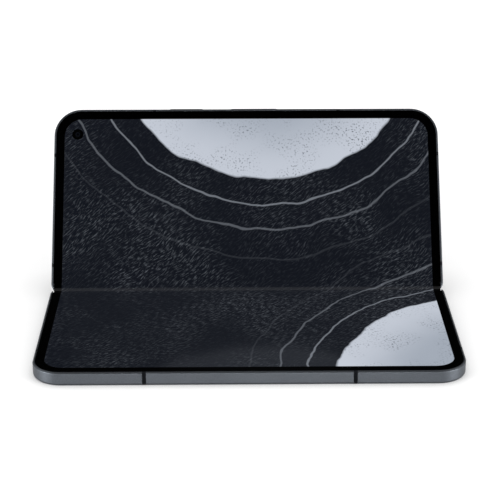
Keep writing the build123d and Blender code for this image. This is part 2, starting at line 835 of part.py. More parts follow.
# ------------------------------------------------------------------ hinge: the flexible screen
def turned(point, pivot, degrees):
    """A (Y, Z) point turned about another."""
    angle = math.radians(degrees)
    y = point[0] - pivot[0]
    z = point[1] - pivot[1]
    return (pivot[0] + y * math.cos(angle) - z * math.sin(angle),
            pivot[1] + y * math.sin(angle) + z * math.cos(angle))


def on_spine(point):
    """A (Y, Z) point of the upper half, seen from the spine in the half-open pose."""
    return turned(point, (axis_reach, fold_z), half_fold)


def both_sides(points):
    """A chain of (Y, Z) points from right to left, mirrored about the hinge's centre."""
    return points + [(-y, z) for y, z in reversed(points)]


def bend_face():
    """Section of the flexible screen: on both wing plates, with one round bend between."""
    tilt = half_fold * (1 + wing_share)
    slope = math.radians(tilt)
    edge = on_spine((wing_pivot + part_gap, display_top))
    start = on_spine((wing_pivot, display_top))
    corner_z = start[1] - start[0] * math.tan(slope)
    centre_z = corner_z + bend_radius / math.cos(slope)
    lines = []
    chains = []
    for depth in (0, bend_thickness):
        radius = bend_radius + depth
        lean = math.radians(half_fold)
        down = (depth * math.sin(lean), -depth * math.cos(lean))
        low = (depth * math.sin(slope), -depth * math.cos(slope))
        touch = (radius * math.sin(slope), centre_z - radius * math.cos(slope))
        chain = [(edge[0] + down[0], edge[1] + down[1]), (start[0] + low[0], start[1] + low[1]),
                 touch]
        for side in (1, -1):
            points = [(side * y, z) for y, z in chain]
            lines += [Line(points[0], points[1]), Line(points[1], points[2])]
        lines.append(ThreePointArc(touch, (0, centre_z - radius), (-touch[0], touch[1])))
        chains.append(chain)
    lines += [Line((side * chains[0][0][0], chains[0][0][1]),
                   (side * chains[1][0][0], chains[1][0][1])) for side in (1, -1)]
    return make_face(lines)


def display_bend():
    """The flexible stretch of the inner screen, as long as the frames' corners leave room for."""
    notch = math.sqrt(notch_radius ** 2 - (notch_start - hinge_gap) ** 2)
    reach = half_width - notch_radius + notch - slip / 2
    return along_x(bend_face(), -reach, reach)


def link_cable(x):
    """A flat cable from half to half, dipping through the spine."""
    dip, height = cable_floor
    low = fold_z - spine_depth + spine_wall + height
    points = [on_spine((cable_end, cable_z)), on_spine((cable_fold, cable_z)), (dip, low)]
    route = FilletPolyline(*both_sides(points), radius=cable_radius)
    face = trace(route, cable_thickness)
    return along_x(face, x - cable_width / 2, x + cable_width / 2)


def cable_slots():
    """Openings for the cables in a half's hinge rail."""
    reach = cable_width / 2 + part_gap
    return [block(side * cable_x - reach, side * cable_x + reach, bay_end - 1, rail_end + 1,
                  cable_z - part_gap, cable_z + part_gap) for side in (-1, 1)]


# ------------------------------------------------------------------ the two halves
def split_strips(frame):
    """Part the plastic breaks from a frame's outer wall: the frame, then the breaks."""
    slabs = strip_slabs()
    breaks = [frame & slab for slab in slabs]
    for slab in slabs:
        frame -= slab
    return frame, breaks


def hinge_side_cuts(frame, side):
    """A frame with blind holes for its hinge arms' screws, and openings for the flat cables.

    The upper half's arms stand to one side of each module's middle, the lower half's to the other.
    """
    for x in swing_modules:
        for sx, sy in screw_places(x):
            hole_x = x + side * (sx - x)
            frame -= peg(hole_x, sy, screw_radius + screw_slip,
                         glass_thickness + slip / 2, bay_floor)
    for slot in cable_slots():
        frame -= slot
    return frame


def upper_casing():
    """The upper half's frame, with its breaks for aerials and all its openings."""
    frame = hinge_side_cuts(half_frame(), 1)
    inner = half_width - wall - 1
    frame -= button_slot(power_x, power_length)
    frame -= button_slot(volume_x, volume_length)
    frame -= usb_envelope(slip / 2)
    for slot in sound_slots(inner, half_width + 1, sound_y):
        frame -= slot
    for start in (inner, -half_width - 1):
        frame -= bar(mic_y, slot_z, mic_radius, start, start + half_width + 1 - inner)
    frame -= disc(punch_x, punch_y, inner_camera_radius + part_gap, cavity_top - 1, thickness)
    return split_strips(frame)


def lower_casing():
    """The lower half's frame, with its breaks for aerials and all its openings."""
    frame = hinge_side_cuts(half_frame(), -1)
    frame -= tray_outline(tray_slip)
    tray_bay = tray_outline(tray_slip + tray_wall + slip)
    frame -= tray_bay & block(0, half_width - wall, 0, half_length, 0, thickness)
    pin_y = tray_y - tray_width / 2 - 3 * ejector_radius
    frame -= bar(pin_y, tray_z, ejector_radius, half_width - wall - 1, half_width + 1)
    for slot in sound_slots(-half_width - 1, -half_width + wall + 1, sound_y):
        frame -= slot
    return split_strips(frame)


def add_upper_half():
    """Everything that folds with the camera half."""
    frame, breaks = upper_casing()
    add("upper_frame", "upper_half", frame)
    add("upper_antenna_strips", "upper_half", *breaks)
    add("upper_bezel", "upper_half", bezel())
    hole = disc(punch_x, punch_y, punch_radius, 0, thickness)
    add("upper_display", "upper_half", rigid_display() - hole)
    add("inner_camera", "upper_half", inner_camera())
    add("back_glass", "upper_half", outer_glass() - island_opening())
    add("camera_island", "upper_half", camera_island())
    add("lens_rings", "upper_half", *[lens_ring_solid(p) for p in lens_places])
    add("lens_windows", "upper_half", *[lens_glass(p) for p in lens_places])
    add("rear_cameras", "upper_half", *[rear_module_solid(p) for p in lens_places])
    x, y = flash_place
    add("flash_lens", "upper_half", disc(x, y, flash_radius, -island_proud, glass_thickness))
    add("main_board", "upper_half", main_board())
    add("board_shields", "upper_half", *board_shields())
    add("upper_battery", "upper_half", battery(upper_battery_span))
    add("charging_coil", "upper_half", charging_coil())
    add("usb_socket", "upper_half", usb_socket())
    add("usb_board", "upper_half", board(usb_board_span))
    add("loudspeaker", "upper_half", speaker(1))
    (x0, x1), (y0, y1) = motor_span
    motor = soft_block(x0, x1, y0, y1, glass_thickness + battery_lift, cavity_top - slip,
                       motor_corner)
    add("vibration_motor", "upper_half", motor)
    add("upper_magnets", "upper_half", *magnets())
    add("button_switches", "upper_half", *button_switches())
    add("power_button", "power_button", side_button(power_x, power_length))
    add("volume_rocker", "volume_rocker", side_button(volume_x, volume_length))


def add_lower_half():
    """Everything that stays with the cover-screen half, which lies on the table."""
    frame, breaks = lower_casing()
    add("lower_frame", "lower_half", mirrored(frame))
    add("lower_antenna_strips", "lower_half", *[mirrored(piece) for piece in breaks])
    add("lower_bezel", "lower_half", mirrored(bezel()))
    add("lower_display", "lower_half", mirrored(rigid_display()))
    add("cover_glass", "lower_half", mirrored(outer_glass()))
    add("cover_panel", "lower_half", mirrored(cover_panel()))
    add("cover_camera", "lower_half", mirrored(cover_camera()))
    add("lower_board", "lower_half", mirrored(board(lower_board_span)))
    add("lower_battery", "lower_half", mirrored(battery(lower_battery_span)))
    add("earpiece_speaker", "lower_half", mirrored(speaker(-1)))
    add("lower_magnets", "lower_half", *[mirrored(piece) for piece in magnets()])
    add("sim_slot", "lower_half", mirrored(sim_slot()))
    add("sim_tray", "sim_tray", mirrored(sim_tray()))


def add_hinge():
    """The spine, its rails and gears, and the arms and wings of both halves."""
    add("spine_cover", "spine", spine_cover())
    for x in swing_modules:
        arm = swing_arm(x)
        guide_screws = [arm_screw(place) for place in screw_places(x)]
        add("swing_brackets", "spine", swing_bracket(x))
        add("upper_swing_arms", "upper_half", arm)
        add("lower_swing_arms", "lower_half", half_turn(arm, x))
        add("upper_arm_screws", "upper_half", *guide_screws)
        add("lower_arm_screws", "lower_half", *[half_turn(screw, x) for screw in guide_screws])
    lower_idler_phase = 0
    upper_idler_phase = meshed_phase(lower_idler_phase, 0)
    upper_arm_phase = meshed_phase(upper_idler_phase, gear_rise)
    lower_arm_phase = meshed_phase(lower_idler_phase, 180 - gear_rise)
    for x in gear_modules:
        add("lower_idler_gears", "lower_idler", idler_gear(x, -1, lower_idler_phase))
        add("upper_idler_gears", "upper_idler", idler_gear(x, 1, upper_idler_phase))
        add("upper_gear_arms", "upper_gear_arm", sync_arm(x, upper_arm_phase))
        lower_arm = half_turn(sync_arm(x, 180 - lower_arm_phase), x)
        add("lower_gear_arms", "lower_gear_arm", lower_arm)
        add("gear_carriers", "spine", *gear_carrier(x))
        add("gear_shafts", "spine", *gear_shafts(x))
        guide = sync_guide(x)
        add("upper_lever_guides", "upper_half", guide)
        add("lower_lever_guides", "lower_half", half_turn(guide, x))
    add("upper_wing_plate", "upper_wing", wing_plate())
    add("lower_wing_plate", "lower_wing", half_turn(wing_plate(), 0))
    add("display_bend", "spine", display_bend())
    add("link_cables", "spine", link_cable(-cable_x), link_cable(cable_x))


# ------------------------------------------------------------------ the half-open pose
def turn(y, z, degrees):
    """A turn about a line along X."""
    return Pos(0, y, z) * Rot(degrees, 0, 0) * Pos(0, -y, -z)


def body_places():
    """Where each moving body stands in the half-open pose."""
    lower = Pos(0, half_length / 2, 0)
    spine = lower * turn(-axis_reach, fold_z, half_fold)
    upper = spine * turn(axis_reach, fold_z, half_fold)
    tilt = half_fold * wing_share
    return {
        "lower_half": lower,
        "sim_tray": lower,
        "lower_wing": lower * turn(-wing_pivot, wing_z, -tilt),
        "spine": spine,
        "lower_idler": spine * turn(-gear_pitch_radius, idler_z, half_fold),
        "upper_idler": spine * turn(gear_pitch_radius, idler_z, -half_fold),
        "lower_gear_arm": spine * turn(-arm_gear_y, arm_gear_z, -half_fold),
        "upper_gear_arm": spine * turn(arm_gear_y, arm_gear_z, half_fold),
        "upper_half": upper,
        "power_button": upper,
        "volume_rocker": upper,
        "upper_wing": upper * turn(wing_pivot, wing_z, tilt),
    }


def main():
    add_lower_half()
    add_hinge()
    add_upper_half()
    places = body_places()
    os.makedirs("parts", exist_ok=True)
    for name, (body, solids) in PARTS.items():
        placed = [places[body] * piece for solid in solids for piece in solid.solids()]
        shape = placed[0] if len(placed) == 1 else Compound(children=placed)
        export_step(shape, f"parts/{name}.step")
        print(name, body, len(placed), round(sum(piece.volume for piece in placed), 2))


main()
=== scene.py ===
# %% [markdown]
# # A folding phone, half open
# The object is a book-style folding phone. Its lower half lies on the table, its upper half leans
# back, and one flexible screen runs across both. The solid pieces come from a CAD frame that is
# already the right size. This lesson gives each of them its finish, and models the few pieces
# that a rigid solid can't be: the bend of the screen, the flat cables and the camera optics.

# %% Load the frame
import math

import bmesh
import bpy
from mathutils import Matrix, Vector
from mathutils.geometry import interpolate_bezier
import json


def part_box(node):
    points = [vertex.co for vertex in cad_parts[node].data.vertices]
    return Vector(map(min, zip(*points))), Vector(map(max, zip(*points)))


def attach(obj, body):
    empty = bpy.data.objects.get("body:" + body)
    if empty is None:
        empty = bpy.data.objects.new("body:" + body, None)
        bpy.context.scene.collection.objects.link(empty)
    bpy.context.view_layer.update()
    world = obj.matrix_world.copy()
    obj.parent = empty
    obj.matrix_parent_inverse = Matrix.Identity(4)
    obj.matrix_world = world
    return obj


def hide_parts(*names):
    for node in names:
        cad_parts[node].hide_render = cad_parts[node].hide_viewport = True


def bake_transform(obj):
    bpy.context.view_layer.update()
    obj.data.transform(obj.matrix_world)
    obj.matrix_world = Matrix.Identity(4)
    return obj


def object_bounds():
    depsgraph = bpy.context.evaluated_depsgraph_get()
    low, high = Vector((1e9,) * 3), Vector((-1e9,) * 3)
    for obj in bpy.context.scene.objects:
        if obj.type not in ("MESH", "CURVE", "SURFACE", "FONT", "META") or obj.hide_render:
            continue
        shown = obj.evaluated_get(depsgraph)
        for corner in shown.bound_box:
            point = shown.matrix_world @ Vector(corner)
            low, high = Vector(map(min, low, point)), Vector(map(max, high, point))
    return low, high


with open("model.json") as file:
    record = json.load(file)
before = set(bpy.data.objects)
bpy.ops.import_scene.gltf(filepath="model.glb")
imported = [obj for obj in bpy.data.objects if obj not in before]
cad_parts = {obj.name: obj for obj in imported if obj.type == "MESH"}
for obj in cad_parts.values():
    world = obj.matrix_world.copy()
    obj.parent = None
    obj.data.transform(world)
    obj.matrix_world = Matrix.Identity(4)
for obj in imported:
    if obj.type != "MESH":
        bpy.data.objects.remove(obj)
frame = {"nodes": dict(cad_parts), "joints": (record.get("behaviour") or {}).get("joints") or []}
cad_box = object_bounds()
nodes = frame["nodes"]

# %% [markdown]
# ## Millimetres
# Blender's unit here is the metre and a phone's unit is the millimetre. Every size below is
# written in millimetres and multiplied by MM once, so that a number can be checked on a ruler.

# %% Millimetres
MM = 0.001


def mm(x, y, z):
    """A point given in millimetres."""
    return Vector((x, y, z)) * MM


low, high = cad_box
print("CAD box, mm:", [round(value / MM, 2) for value in high - low])

# %% [markdown]
# ## Where the two halves lie
# The hinge has two fold axes, side by side in its spine. The spine is turned from the lower half
# by half of the fold, and the upper half by as much again. With both axes known, a piece of the
# upper half can be drawn lying flat, as it would lie on a bench, and then laid onto the half.

# %% The upper half's own frame
joints = {joint["name"]: joint for joint in frame["joints"]}
lower_axis = Vector(joints["spine_fold"]["pos_m"])
upper_axis = Vector(joints["upper_fold"]["pos_m"])
HALF_FOLD = math.radians(-joints["spine_fold"]["range_deg"][0])
AXIS_REACH = (upper_axis - lower_axis).length / 2
FOLD_HEIGHT = lower_axis.z
CENTRE_LINE = lower_axis.y + AXIS_REACH
UPPER_FROM_FLAT = (Matrix.Translation(upper_axis) @ Matrix.Rotation(2 * HALF_FOLD, 4, "X")
                   @ Matrix.Translation((0, -AXIS_REACH, -FOLD_HEIGHT)))
LOWER_FROM_FLAT = Matrix.Translation((0, CENTRE_LINE, 0)) @ Matrix.Rotation(math.pi, 4, "Z")
print("opening angle:", round(180 - math.degrees(2 * HALF_FOLD), 1), "degrees")

# %% [markdown]
# ## The camera
# A product photographer would use a long lens from across the room, so that the phone's edges
# stay nearly parallel. The place and the lens below were fitted to the phone's corners in the
# picture: a little above the table, looking down by about a fifth of a right angle.

# %% The camera
CAMERA_PLACE = (-6.39, -539.95, 250.11)
CAMERA_PITCH = 21.6  # degrees below the horizon
CAMERA_YAW = 0.731  # degrees towards +X
LENS = 114.13  # on a sensor 36 mm wide

camera_data = bpy.data.cameras.new("camera")
camera_data.lens = LENS
camera_data.sensor_width = 36
camera_data.clip_start = 10 * MM
camera = bpy.data.objects.new("camera", camera_data)
camera.location = mm(*CAMERA_PLACE)
camera.rotation_euler = (math.radians(90 - CAMERA_PITCH), 0, math.radians(-CAMERA_YAW))
bpy.context.scene.collection.objects.link(camera)
bpy.context.scene.camera = camera
bpy.context.scene.view_settings.view_transform = "Standard"
print("camera is", round(camera.location.length / MM), "mm from the origin")

# %% [markdown]
# ## Colours and nodes
# Designers write colours as sRGB hex values. A renderer adds and multiplies light, so it needs
# linear values, and one function turns the first into the second. A second function adds a node,
# sets it up and links it, and a third makes a material from a recipe: a function that builds one
# kind of surface in a node tree, such as blasted metal, in the colours and gloss that it is given.
# Most recipes spread a noise over a small range of tone or gloss, and NOISE is what they spread.

# %% Colours and nodes
NOISE = {"From Min": 0.3, "From Max": 0.7}  # nearly all of a noise texture lies between these


def linear(hex_colour):
    """An sRGB hex colour as linear red, green, blue and alpha."""
    channels = [int(hex_colour[at:at + 2], 16) / 255 for at in (1, 3, 5)]
    return tuple(c / 12.92 if c <= 0.04045 else ((c + 0.055) / 1.055) ** 2.4
                 for c in channels) + (1.0,)


def add_node(tree, kind, inputs=None, stops=None, **settings):
    """A node with its settings, its inputs (values, or nodes or outputs to link) and its stops."""
    node = tree.nodes.new("ShaderNode" + kind)
    for name, value in settings.items():
        setattr(node, name, value)
    for name, value in (inputs or {}).items():
        if isinstance(value, bpy.types.Node):
            value = value.outputs[0]
        if isinstance(value, bpy.types.NodeSocket):
            tree.links.new(value, node.inputs[name])
        else:
            node.inputs[name].default_value = value
    for at, (place, hex_colour) in enumerate(stops or ()):
        elements = node.color_ramp.elements
        stop = elements[at] if at < 2 else elements.new(place)
        stop.position = place
        stop.color = linear(hex_colour)
    return node


def new_material(name, recipe, *looks):
    """A material with the surface that a recipe makes, in its own node tree, from these looks."""
    material = bpy.data.materials.new(name)
    material.use_nodes = True
    tree = material.node_tree
    tree.nodes.clear()
    add_node(tree, "OutputMaterial", {"Surface": recipe(tree, *looks)})
    return material


print("mid grey #808080 is", round(linear("#808080")[0], 3), "in linear light")

# %% [markdown]
# ## The floor
# The phone stands on a plain white sweep. A real one is matte board, lit a little brighter than
# the subject, so that it prints as paper white and only the soft shadow close to the phone is
# left. Here the board is a diffuse pale grey with some light of its own, which stands for a large
# tent of white cloth. Close to the phone the tent is hidden, so that light is held back there by
# the share of open sky. Only the camera sees it, straight or by way of metal and glass, so it
# adds nothing to the light on the phone.

# %% The floor
FLOOR_SIZE = 4000
FLOOR_DROP = 0.03  # below the phone's glass, so that the two faces don't coincide
BOARD_GLOW = (0.58, 0.95)  # close to the phone, and far off, where the lamps give less
GLOW_REACH = (140, 800)  # from the middle of the board
SHADE_REACH = 26  # how far from the phone the tent's light is held back


def flat_mesh(name, width, depth, material):
    """A rectangle in millimetres, flat on its own ground plane."""
    mesh = bpy.data.meshes.new(name)
    mesh.from_pydata([mm(sx * width / 2, sy * depth / 2, 0)
                      for sx, sy in ((-1, -1), (1, -1), (1, 1), (-1, 1))], [], [(0, 1, 2, 3)])
    mesh.materials.append(material)
    return mesh


def seen_by_camera(tree):
    """1 where the camera looks straight at a surface, or by way of gloss or clear glass."""
    path = add_node(tree, "LightPath")
    seen = add_node(tree, "Math", {0: path.outputs["Is Camera Ray"],
                                   1: path.outputs["Is Glossy Ray"]}, operation="MAXIMUM")
    return add_node(tree, "Math", {0: seen, 1: path.outputs["Is Transmission Ray"]},
                    operation="MAXIMUM")


def glowing_board(tree):
    """Matte board with light of its own, held back where the phone hides the open sky."""
    sky = add_node(tree, "AmbientOcclusion", {"Distance": SHADE_REACH * MM}, samples=3)
    place = add_node(tree, "NewGeometry").outputs["Position"]
    off = add_node(tree, "VectorMath", {0: place}, operation="LENGTH").outputs["Value"]
    level = add_node(tree, "MapRange", {"Value": off, "From Min": GLOW_REACH[0] * MM,
                                        "From Max": GLOW_REACH[1] * MM, "To Min": BOARD_GLOW[0],
                                        "To Max": BOARD_GLOW[1]})
    glow = add_node(tree, "Math", {0: seen_by_camera(tree), 1: level}, operation="MULTIPLY")
    glow = add_node(tree, "Math", {0: glow, 1: sky.outputs["AO"]}, operation="MULTIPLY")
    board = add_node(tree, "BsdfDiffuse", {"Color": linear("#c8c8c8")})
    light = add_node(tree, "Emission", {"Strength": glow})
    return add_node(tree, "AddShader", {0: board, 1: light})


white_board = new_material("white_board", glowing_board)
floor = bpy.data.objects.new("floor", flat_mesh("floor", FLOOR_SIZE, FLOOR_SIZE, white_board))
floor.location = mm(0, 0, -FLOOR_DROP)
bpy.context.scene.collection.objects.link(floor)
print("floor:", FLOOR_SIZE, "mm square")

# %% [markdown]
# ## The white room
# The room round the board is white in the same way: the camera sees it as pure white, and the
# phone gets less than half of that from it, so that the lamps can still draw its forms.

# %% The white room
ROOM_LIGHT = 0.45  # what the room gives a matte surface, out of 1

world = bpy.data.worlds.new("white_room")
world.use_nodes = True
bpy.context.scene.world = world
tree = world.node_tree
tree.nodes.clear()
strength = add_node(tree, "MapRange", {"Value": seen_by_camera(tree), "To Min": ROOM_LIGHT,
                                       "To Max": 1.0})
room = add_node(tree, "Background", {"Color": linear("#ffffff"), "Strength": strength})
add_node(tree, "OutputWorld", {"Surface": room})
print("room light:", ROOM_LIGHT)

# %% [markdown]
# ## Soft boxes
# Metal shows the lamps themselves. A wide soft box overhead draws the pale line along the fold of
# the screen. Three low ones stand round the phone: the one in front lights its long edge, and one
# at each side draws the soft upright highlight on each rounded corner of the frame. Their power is
# worked out from how bright a white card facing them should look. Seen from the side, the screen
# would mirror the low ones as a glare. In a studio, barn doors would keep them off it, and here
# they are linked to the metal and the floor alone.

# %% Soft boxes
SLATE_PIECES = ("lower_frame", "upper_frame", "power_button", "volume_rocker", "sim_tray")


def soft_box(name, place, size, share):
    """A lamp in millimetres that gives a white card on the phone's place this share of light."""
    data = bpy.data.lights.new(name, "AREA")
    data.shape = "RECTANGLE"
    data.size, data.size_y = (side * MM for side in size)
    lamp = bpy.data.objects.new(name, data)
    lamp.location = mm(*place)
    aim = mm(0, 0, 0) - lamp.location
    data.energy = share * (math.pi * aim.length) ** 2
    lamp.rotation_euler = aim.to_track_quat("-Z", "Y").to_euler()
    bpy.context.scene.collection.objects.link(lamp)
    return lamp


lamps = [soft_box("overhead_soft_box", (0, 180, 900), (800, 800), 0.32),
         soft_box("front_soft_box", (0, -450, 24), (130, 44), 0.85),
         soft_box("left_soft_box", (-795, -420, 38), (170, 70), 2.4),
         soft_box("right_soft_box", (795, -420, 38), (170, 70), 2.4)]
low_boxes = lamps[1:]
lit_low = bpy.data.collections.new("lit_by_low_boxes")
for lit in [nodes[name] for name in SLATE_PIECES] + [floor]:
    lit_low.objects.link(lit)
for lamp in low_boxes:
    lamp.light_linking.receiver_collection = lit_low
print("lamp powers, W:", [round(lamp.data.energy, 2) for lamp in lamps])

# %% [markdown]
# ## Flags
# In an all-white room a grey metal edge shows one even grey. A product photographer hangs black
# cards, called flags, where the chamfers mirror them, and that draws each edge as a dark line
# beside a pale face. One hangs over the front, one behind keeps haze off the screen, and one
# stands to each side of the camera. The camera doesn't see them.

# %% Flags
def black_felt(tree):
    """Matte black."""
    return add_node(tree, "BsdfDiffuse", {"Color": linear("#050505")})


def flag(name, place, size):
    """A black card in millimetres that only reflections see."""
    card = bpy.data.objects.new(name, flat_mesh(name, *size, black_card))
    card.location = mm(*place)
    card.rotation_euler = (mm(0, 0, 0) - card.location).to_track_quat("-Z", "Y").to_euler()
    card.visible_camera = False
    card.visible_diffuse = False
    card.visible_shadow = False
    bpy.context.scene.collection.objects.link(card)
    return card


black_card = new_material("black_card", black_felt)
flags = [flag("front_flag", (0, -330, 680), (1500, 700)),
         flag("back_flag", (0, 620, 290), (1500, 560)),
         flag("left_flag", (-360, -600, 225), (330, 440)),
         flag("right_flag", (360, -600, 225), (330, 440))]
print("flags:", len(flags))

# %% [markdown]
# ## Eased edges
# No machined edge is perfectly sharp: it is broken by a tenth of a millimetre or so, and that
# narrow band is what catches the light. The CAD mesh stays as it is. A stack of modifiers welds
# its split corners, joins its flat triangles, rounds the sharp edges and lets the flat faces
# decide the shading, so that nothing looks swollen. The frames' outer chamfers get more: below,
# a wide round turns the side softly under, and above, a narrow one draws a bright line.

# %% Eased edges
WELD_GAP = 0.001  # corners closer than this are one
FLAT = math.radians(0.5)  # triangles that lie this close to one plane are joined
ROUNDED = math.radians(50)  # an edge sharper than this is rounded
EASE = 0.05  # width of the small rounds
STRIP_EASE = 0.02  # of the aerial breaks, which lie flush in the frame
CHAMFER = 0.45  # of the frames' outer edges
FRAME_HEIGHT = 5.0
UNDER_ROUND = 0.36  # where the side turns to the lower chamfer
UPPER_ROUND = 0.1  # and to the upper one
HEIGHT_SLACK = 0.005  # a point this close to a height counts as lying on it


def bevel(node, name, width, segments, **settings):
    """One rounding of a node's edges, by a width in millimetres."""
    edge = node.modifiers.new(name, "BEVEL")
    edge.width = width * MM
    edge.segments = segments
    edge.use_clamp_overlap = False
    for setting, value in settings.items():
        setattr(edge, setting, value)


def ease(name, width, rounds=(), from_flat=None):
    """Rounds a CAD node's sharp edges, and first those at some heights by their own widths."""
    node = nodes[name]
    weld = node.modifiers.new("weld", "WELD")
    weld.merge_threshold = WELD_GAP * MM
    flat = node.modifiers.new("flat_faces", "DECIMATE")
    flat.decimate_type = "DISSOLVE"
    flat.angle_limit = FLAT
    for height, reach in rounds:
        group = node.vertex_groups.new(name=f"edges_at_{height}")
        to_flat = from_flat.inverted()
        at_height = [vertex.index for vertex in node.data.vertices
                     if abs((to_flat @ vertex.co).z - height * MM) < HEIGHT_SLACK * MM]
        group.add(at_height, 1.0, "REPLACE")
        bevel(node, group.name, reach, 4, limit_method="VGROUP", vertex_group=group.name)
    bevel(node, "eased_edges", width, 2, limit_method="ANGLE", angle_limit=ROUNDED)
    shade = node.modifiers.new("shading", "WEIGHTED_NORMAL")
    shade.keep_sharp = True


outer_rounds = ((CHAMFER, UNDER_ROUND), (FRAME_HEIGHT - CHAMFER, UPPER_ROUND))
for half, from_flat in (("lower", LOWER_FROM_FLAT), ("upper", UPPER_FROM_FLAT)):
    ease(f"{half}_frame", EASE, outer_rounds, from_flat)
    ease(f"{half}_antenna_strips", STRIP_EASE, outer_rounds, from_flat)
for name in ("lower_bezel", "upper_bezel", "cover_glass", "back_glass", "camera_island",
             "lens_rings", "power_button", "volume_rocker", "sim_tray", "usb_socket"):
    ease(name, EASE)
print("eased:", [name for name in nodes if nodes[name].modifiers])

# %% [markdown]
# ## Bead-blasted anodised aluminium
# The frames are milled from aluminium, blasted with fine glass beads and anodised slate grey.
# The beads leave a dense grain that scatters light, so reflections are wide and soft, and the dye
# in the oxide layer gives the blue-grey colour. A roughness of 0.4 to 0.5 is typical of such a
# surface. The camera island and the hinge's back are blasted less, so they are smoother. The low
# lamps don't reach them, and their colour is written lighter to match the frames. The function
# that lays a grain into gloss and relief serves the plastics and the steels as well.

# %% Bead-blasted anodised aluminium
GRAIN = 0.2  # mm; real bead marks are 0.05 mm, drawn coarser so that they show
DYE_DRIFT = 18  # mm; the slow change of the dye from place to place
RELIEF = 0.01  # depth of a grain


def finish(pieces, name, recipe, *looks):
    """Gives CAD nodes a new material, made by a recipe from these looks."""
    material = new_material(name, recipe, *looks)
    for piece in pieces:
        for material_slot in nodes[piece].material_slots:
            material_slot.material = material
    print(f"{name}: {', '.join(pieces)}")


def grained(tree, hex_colour, tone, grain, strength, gloss, others):
    """A surface with a noise in its gloss and its relief, in a colour that a tone scales."""
    colour = add_node(tree, "VectorMath", {0: linear(hex_colour)[:3], "Scale": tone},
                      operation="SCALE")
    gloss = add_node(tree, "MapRange", {**NOISE, "Value": grain, "To Min": gloss[0],
                                        "To Max": gloss[1]})
    bump = add_node(tree, "Bump", {"Height": grain, "Strength": strength, "Distance": RELIEF * MM})
    return add_node(tree, "BsdfPrincipled", {
        "Base Color": colour, "Roughness": gloss, "Normal": bump, **others})


def blasted_aluminium(tree, hex_colour, roughness):
    """Anodised aluminium with a blasted grain in its colour, its gloss and its surface."""
    place = add_node(tree, "TexCoord").outputs["Object"]
    grain = add_node(tree, "TexNoise", {"Vector": place, "Scale": 1 / (GRAIN * MM), "Detail": 2.0})
    dye = add_node(tree, "TexNoise", {"Vector": place, "Scale": 1 / (DYE_DRIFT * MM),
                                      "Detail": 2.0})
    tone = add_node(tree, "MapRange", {"Value": grain, "From Min": 0.25, "From Max": 0.75,
                                       "To Min": 0.7, "To Max": 1.3})
    drift = add_node(tree, "MapRange", {**NOISE, "Value": dye, "To Min": 0.96, "To Max": 1.04})
    tone = add_node(tree, "Math", {0: tone, 1: drift}, operation="MULTIPLY")
    return grained(tree, hex_colour, tone, grain, 0.25, (roughness - 0.05, roughness + 0.05),
                   {"Metallic": 1.0})


finish(SLATE_PIECES, "slate_anodised_aluminium", blasted_aluminium, "#3f4246", 0.5)
finish(("camera_island", "lens_rings", "spine_cover"), "smooth_anodised_aluminium",
       blasted_aluminium, "#565d66", 0.3)

# %% [markdown]
# ## Moulded plastic
# The aerial breaks are glass-filled nylon, moulded into the frame and machined flush with it. The
# bezel trim, the camera housings and the loudspeaker boxes are black plastic with a spark-eroded
# texture. Plastic has an index near 1.5. The trim round the screen is coated against reflections,
# like the screen beside it, so it stays black in a white room. The nylon is matte all through and
# hardly glints either.

# %% Moulded plastic
MOULD_TEXTURE = 0.15  # mm; the pits of a real mould are finer, drawn coarser so that they show
FLOW_MARK = 6  # mm; pale and dark streaks where the plastic flowed


def moulded_plastic(tree, hex_colour, roughness, reflectance=0.5):
    """Moulded plastic with an eroded texture and faint flow marks."""
    place = add_node(tree, "TexCoord").outputs["Object"]
    pits = add_node(tree, "TexNoise", {"Vector": place, "Scale": 1 / (MOULD_TEXTURE * MM),
                                       "Detail": 3.0})
    flow = add_node(tree, "TexNoise", {"Vector": place, "Scale": 1 / (FLOW_MARK * MM),
                                       "Distortion": 1.5})
    tone = add_node(tree, "MapRange", {**NOISE, "Value": flow, "To Min": 0.85, "To Max": 1.15})
    return grained(tree, hex_colour, tone, pits, 0.3, (roughness - 0.06, roughness + 0.06),
                   {"IOR": 1.5, "Specular IOR Level": reflectance})


finish(("lower_antenna_strips", "upper_antenna_strips"), "aerial_nylon", moulded_plastic,
       "#202226", 0.6, 0.04)
finish(("lower_bezel", "upper_bezel"), "coated_black_trim", moulded_plastic, "#010101", 0.35, 0.01)
finish(("inner_camera",), "coated_camera_black", moulded_plastic, "#010101", 0.5, 0.01)
finish(("earpiece_speaker", "loudspeaker"), "speaker_plastic", moulded_plastic, "#26272a", 0.55)
black_plastic = new_material("black_camera_plastic", moulded_plastic, "#020202", 0.5, 0.1)

# %% [markdown]
# ## Distance from an axis
# Lenses, windows, diffusers and coils are all drawn in rings. One small formula serves them: the
# distance of a point from a line, which is the length of a cross product. Each line stands
# upright on one of the halves, in the middle of a CAD node.

# %% Distance from an axis
LENS_OFFSETS = ((-12.0, 0.0), (1.0, 0.0), (13.5, 4.5))  # from the camera island's middle


def flat_centre(name, from_flat):
    """The middle of a CAD node, lying flat, in millimetres."""
    points = [from_flat.inverted() @ vertex.co for vertex in nodes[name].data.vertices]
    spans = [(min(p[k] for p in points), max(p[k] for p in points)) for k in range(3)]
    return Vector([sum(span) / 2 for span in spans]) / MM


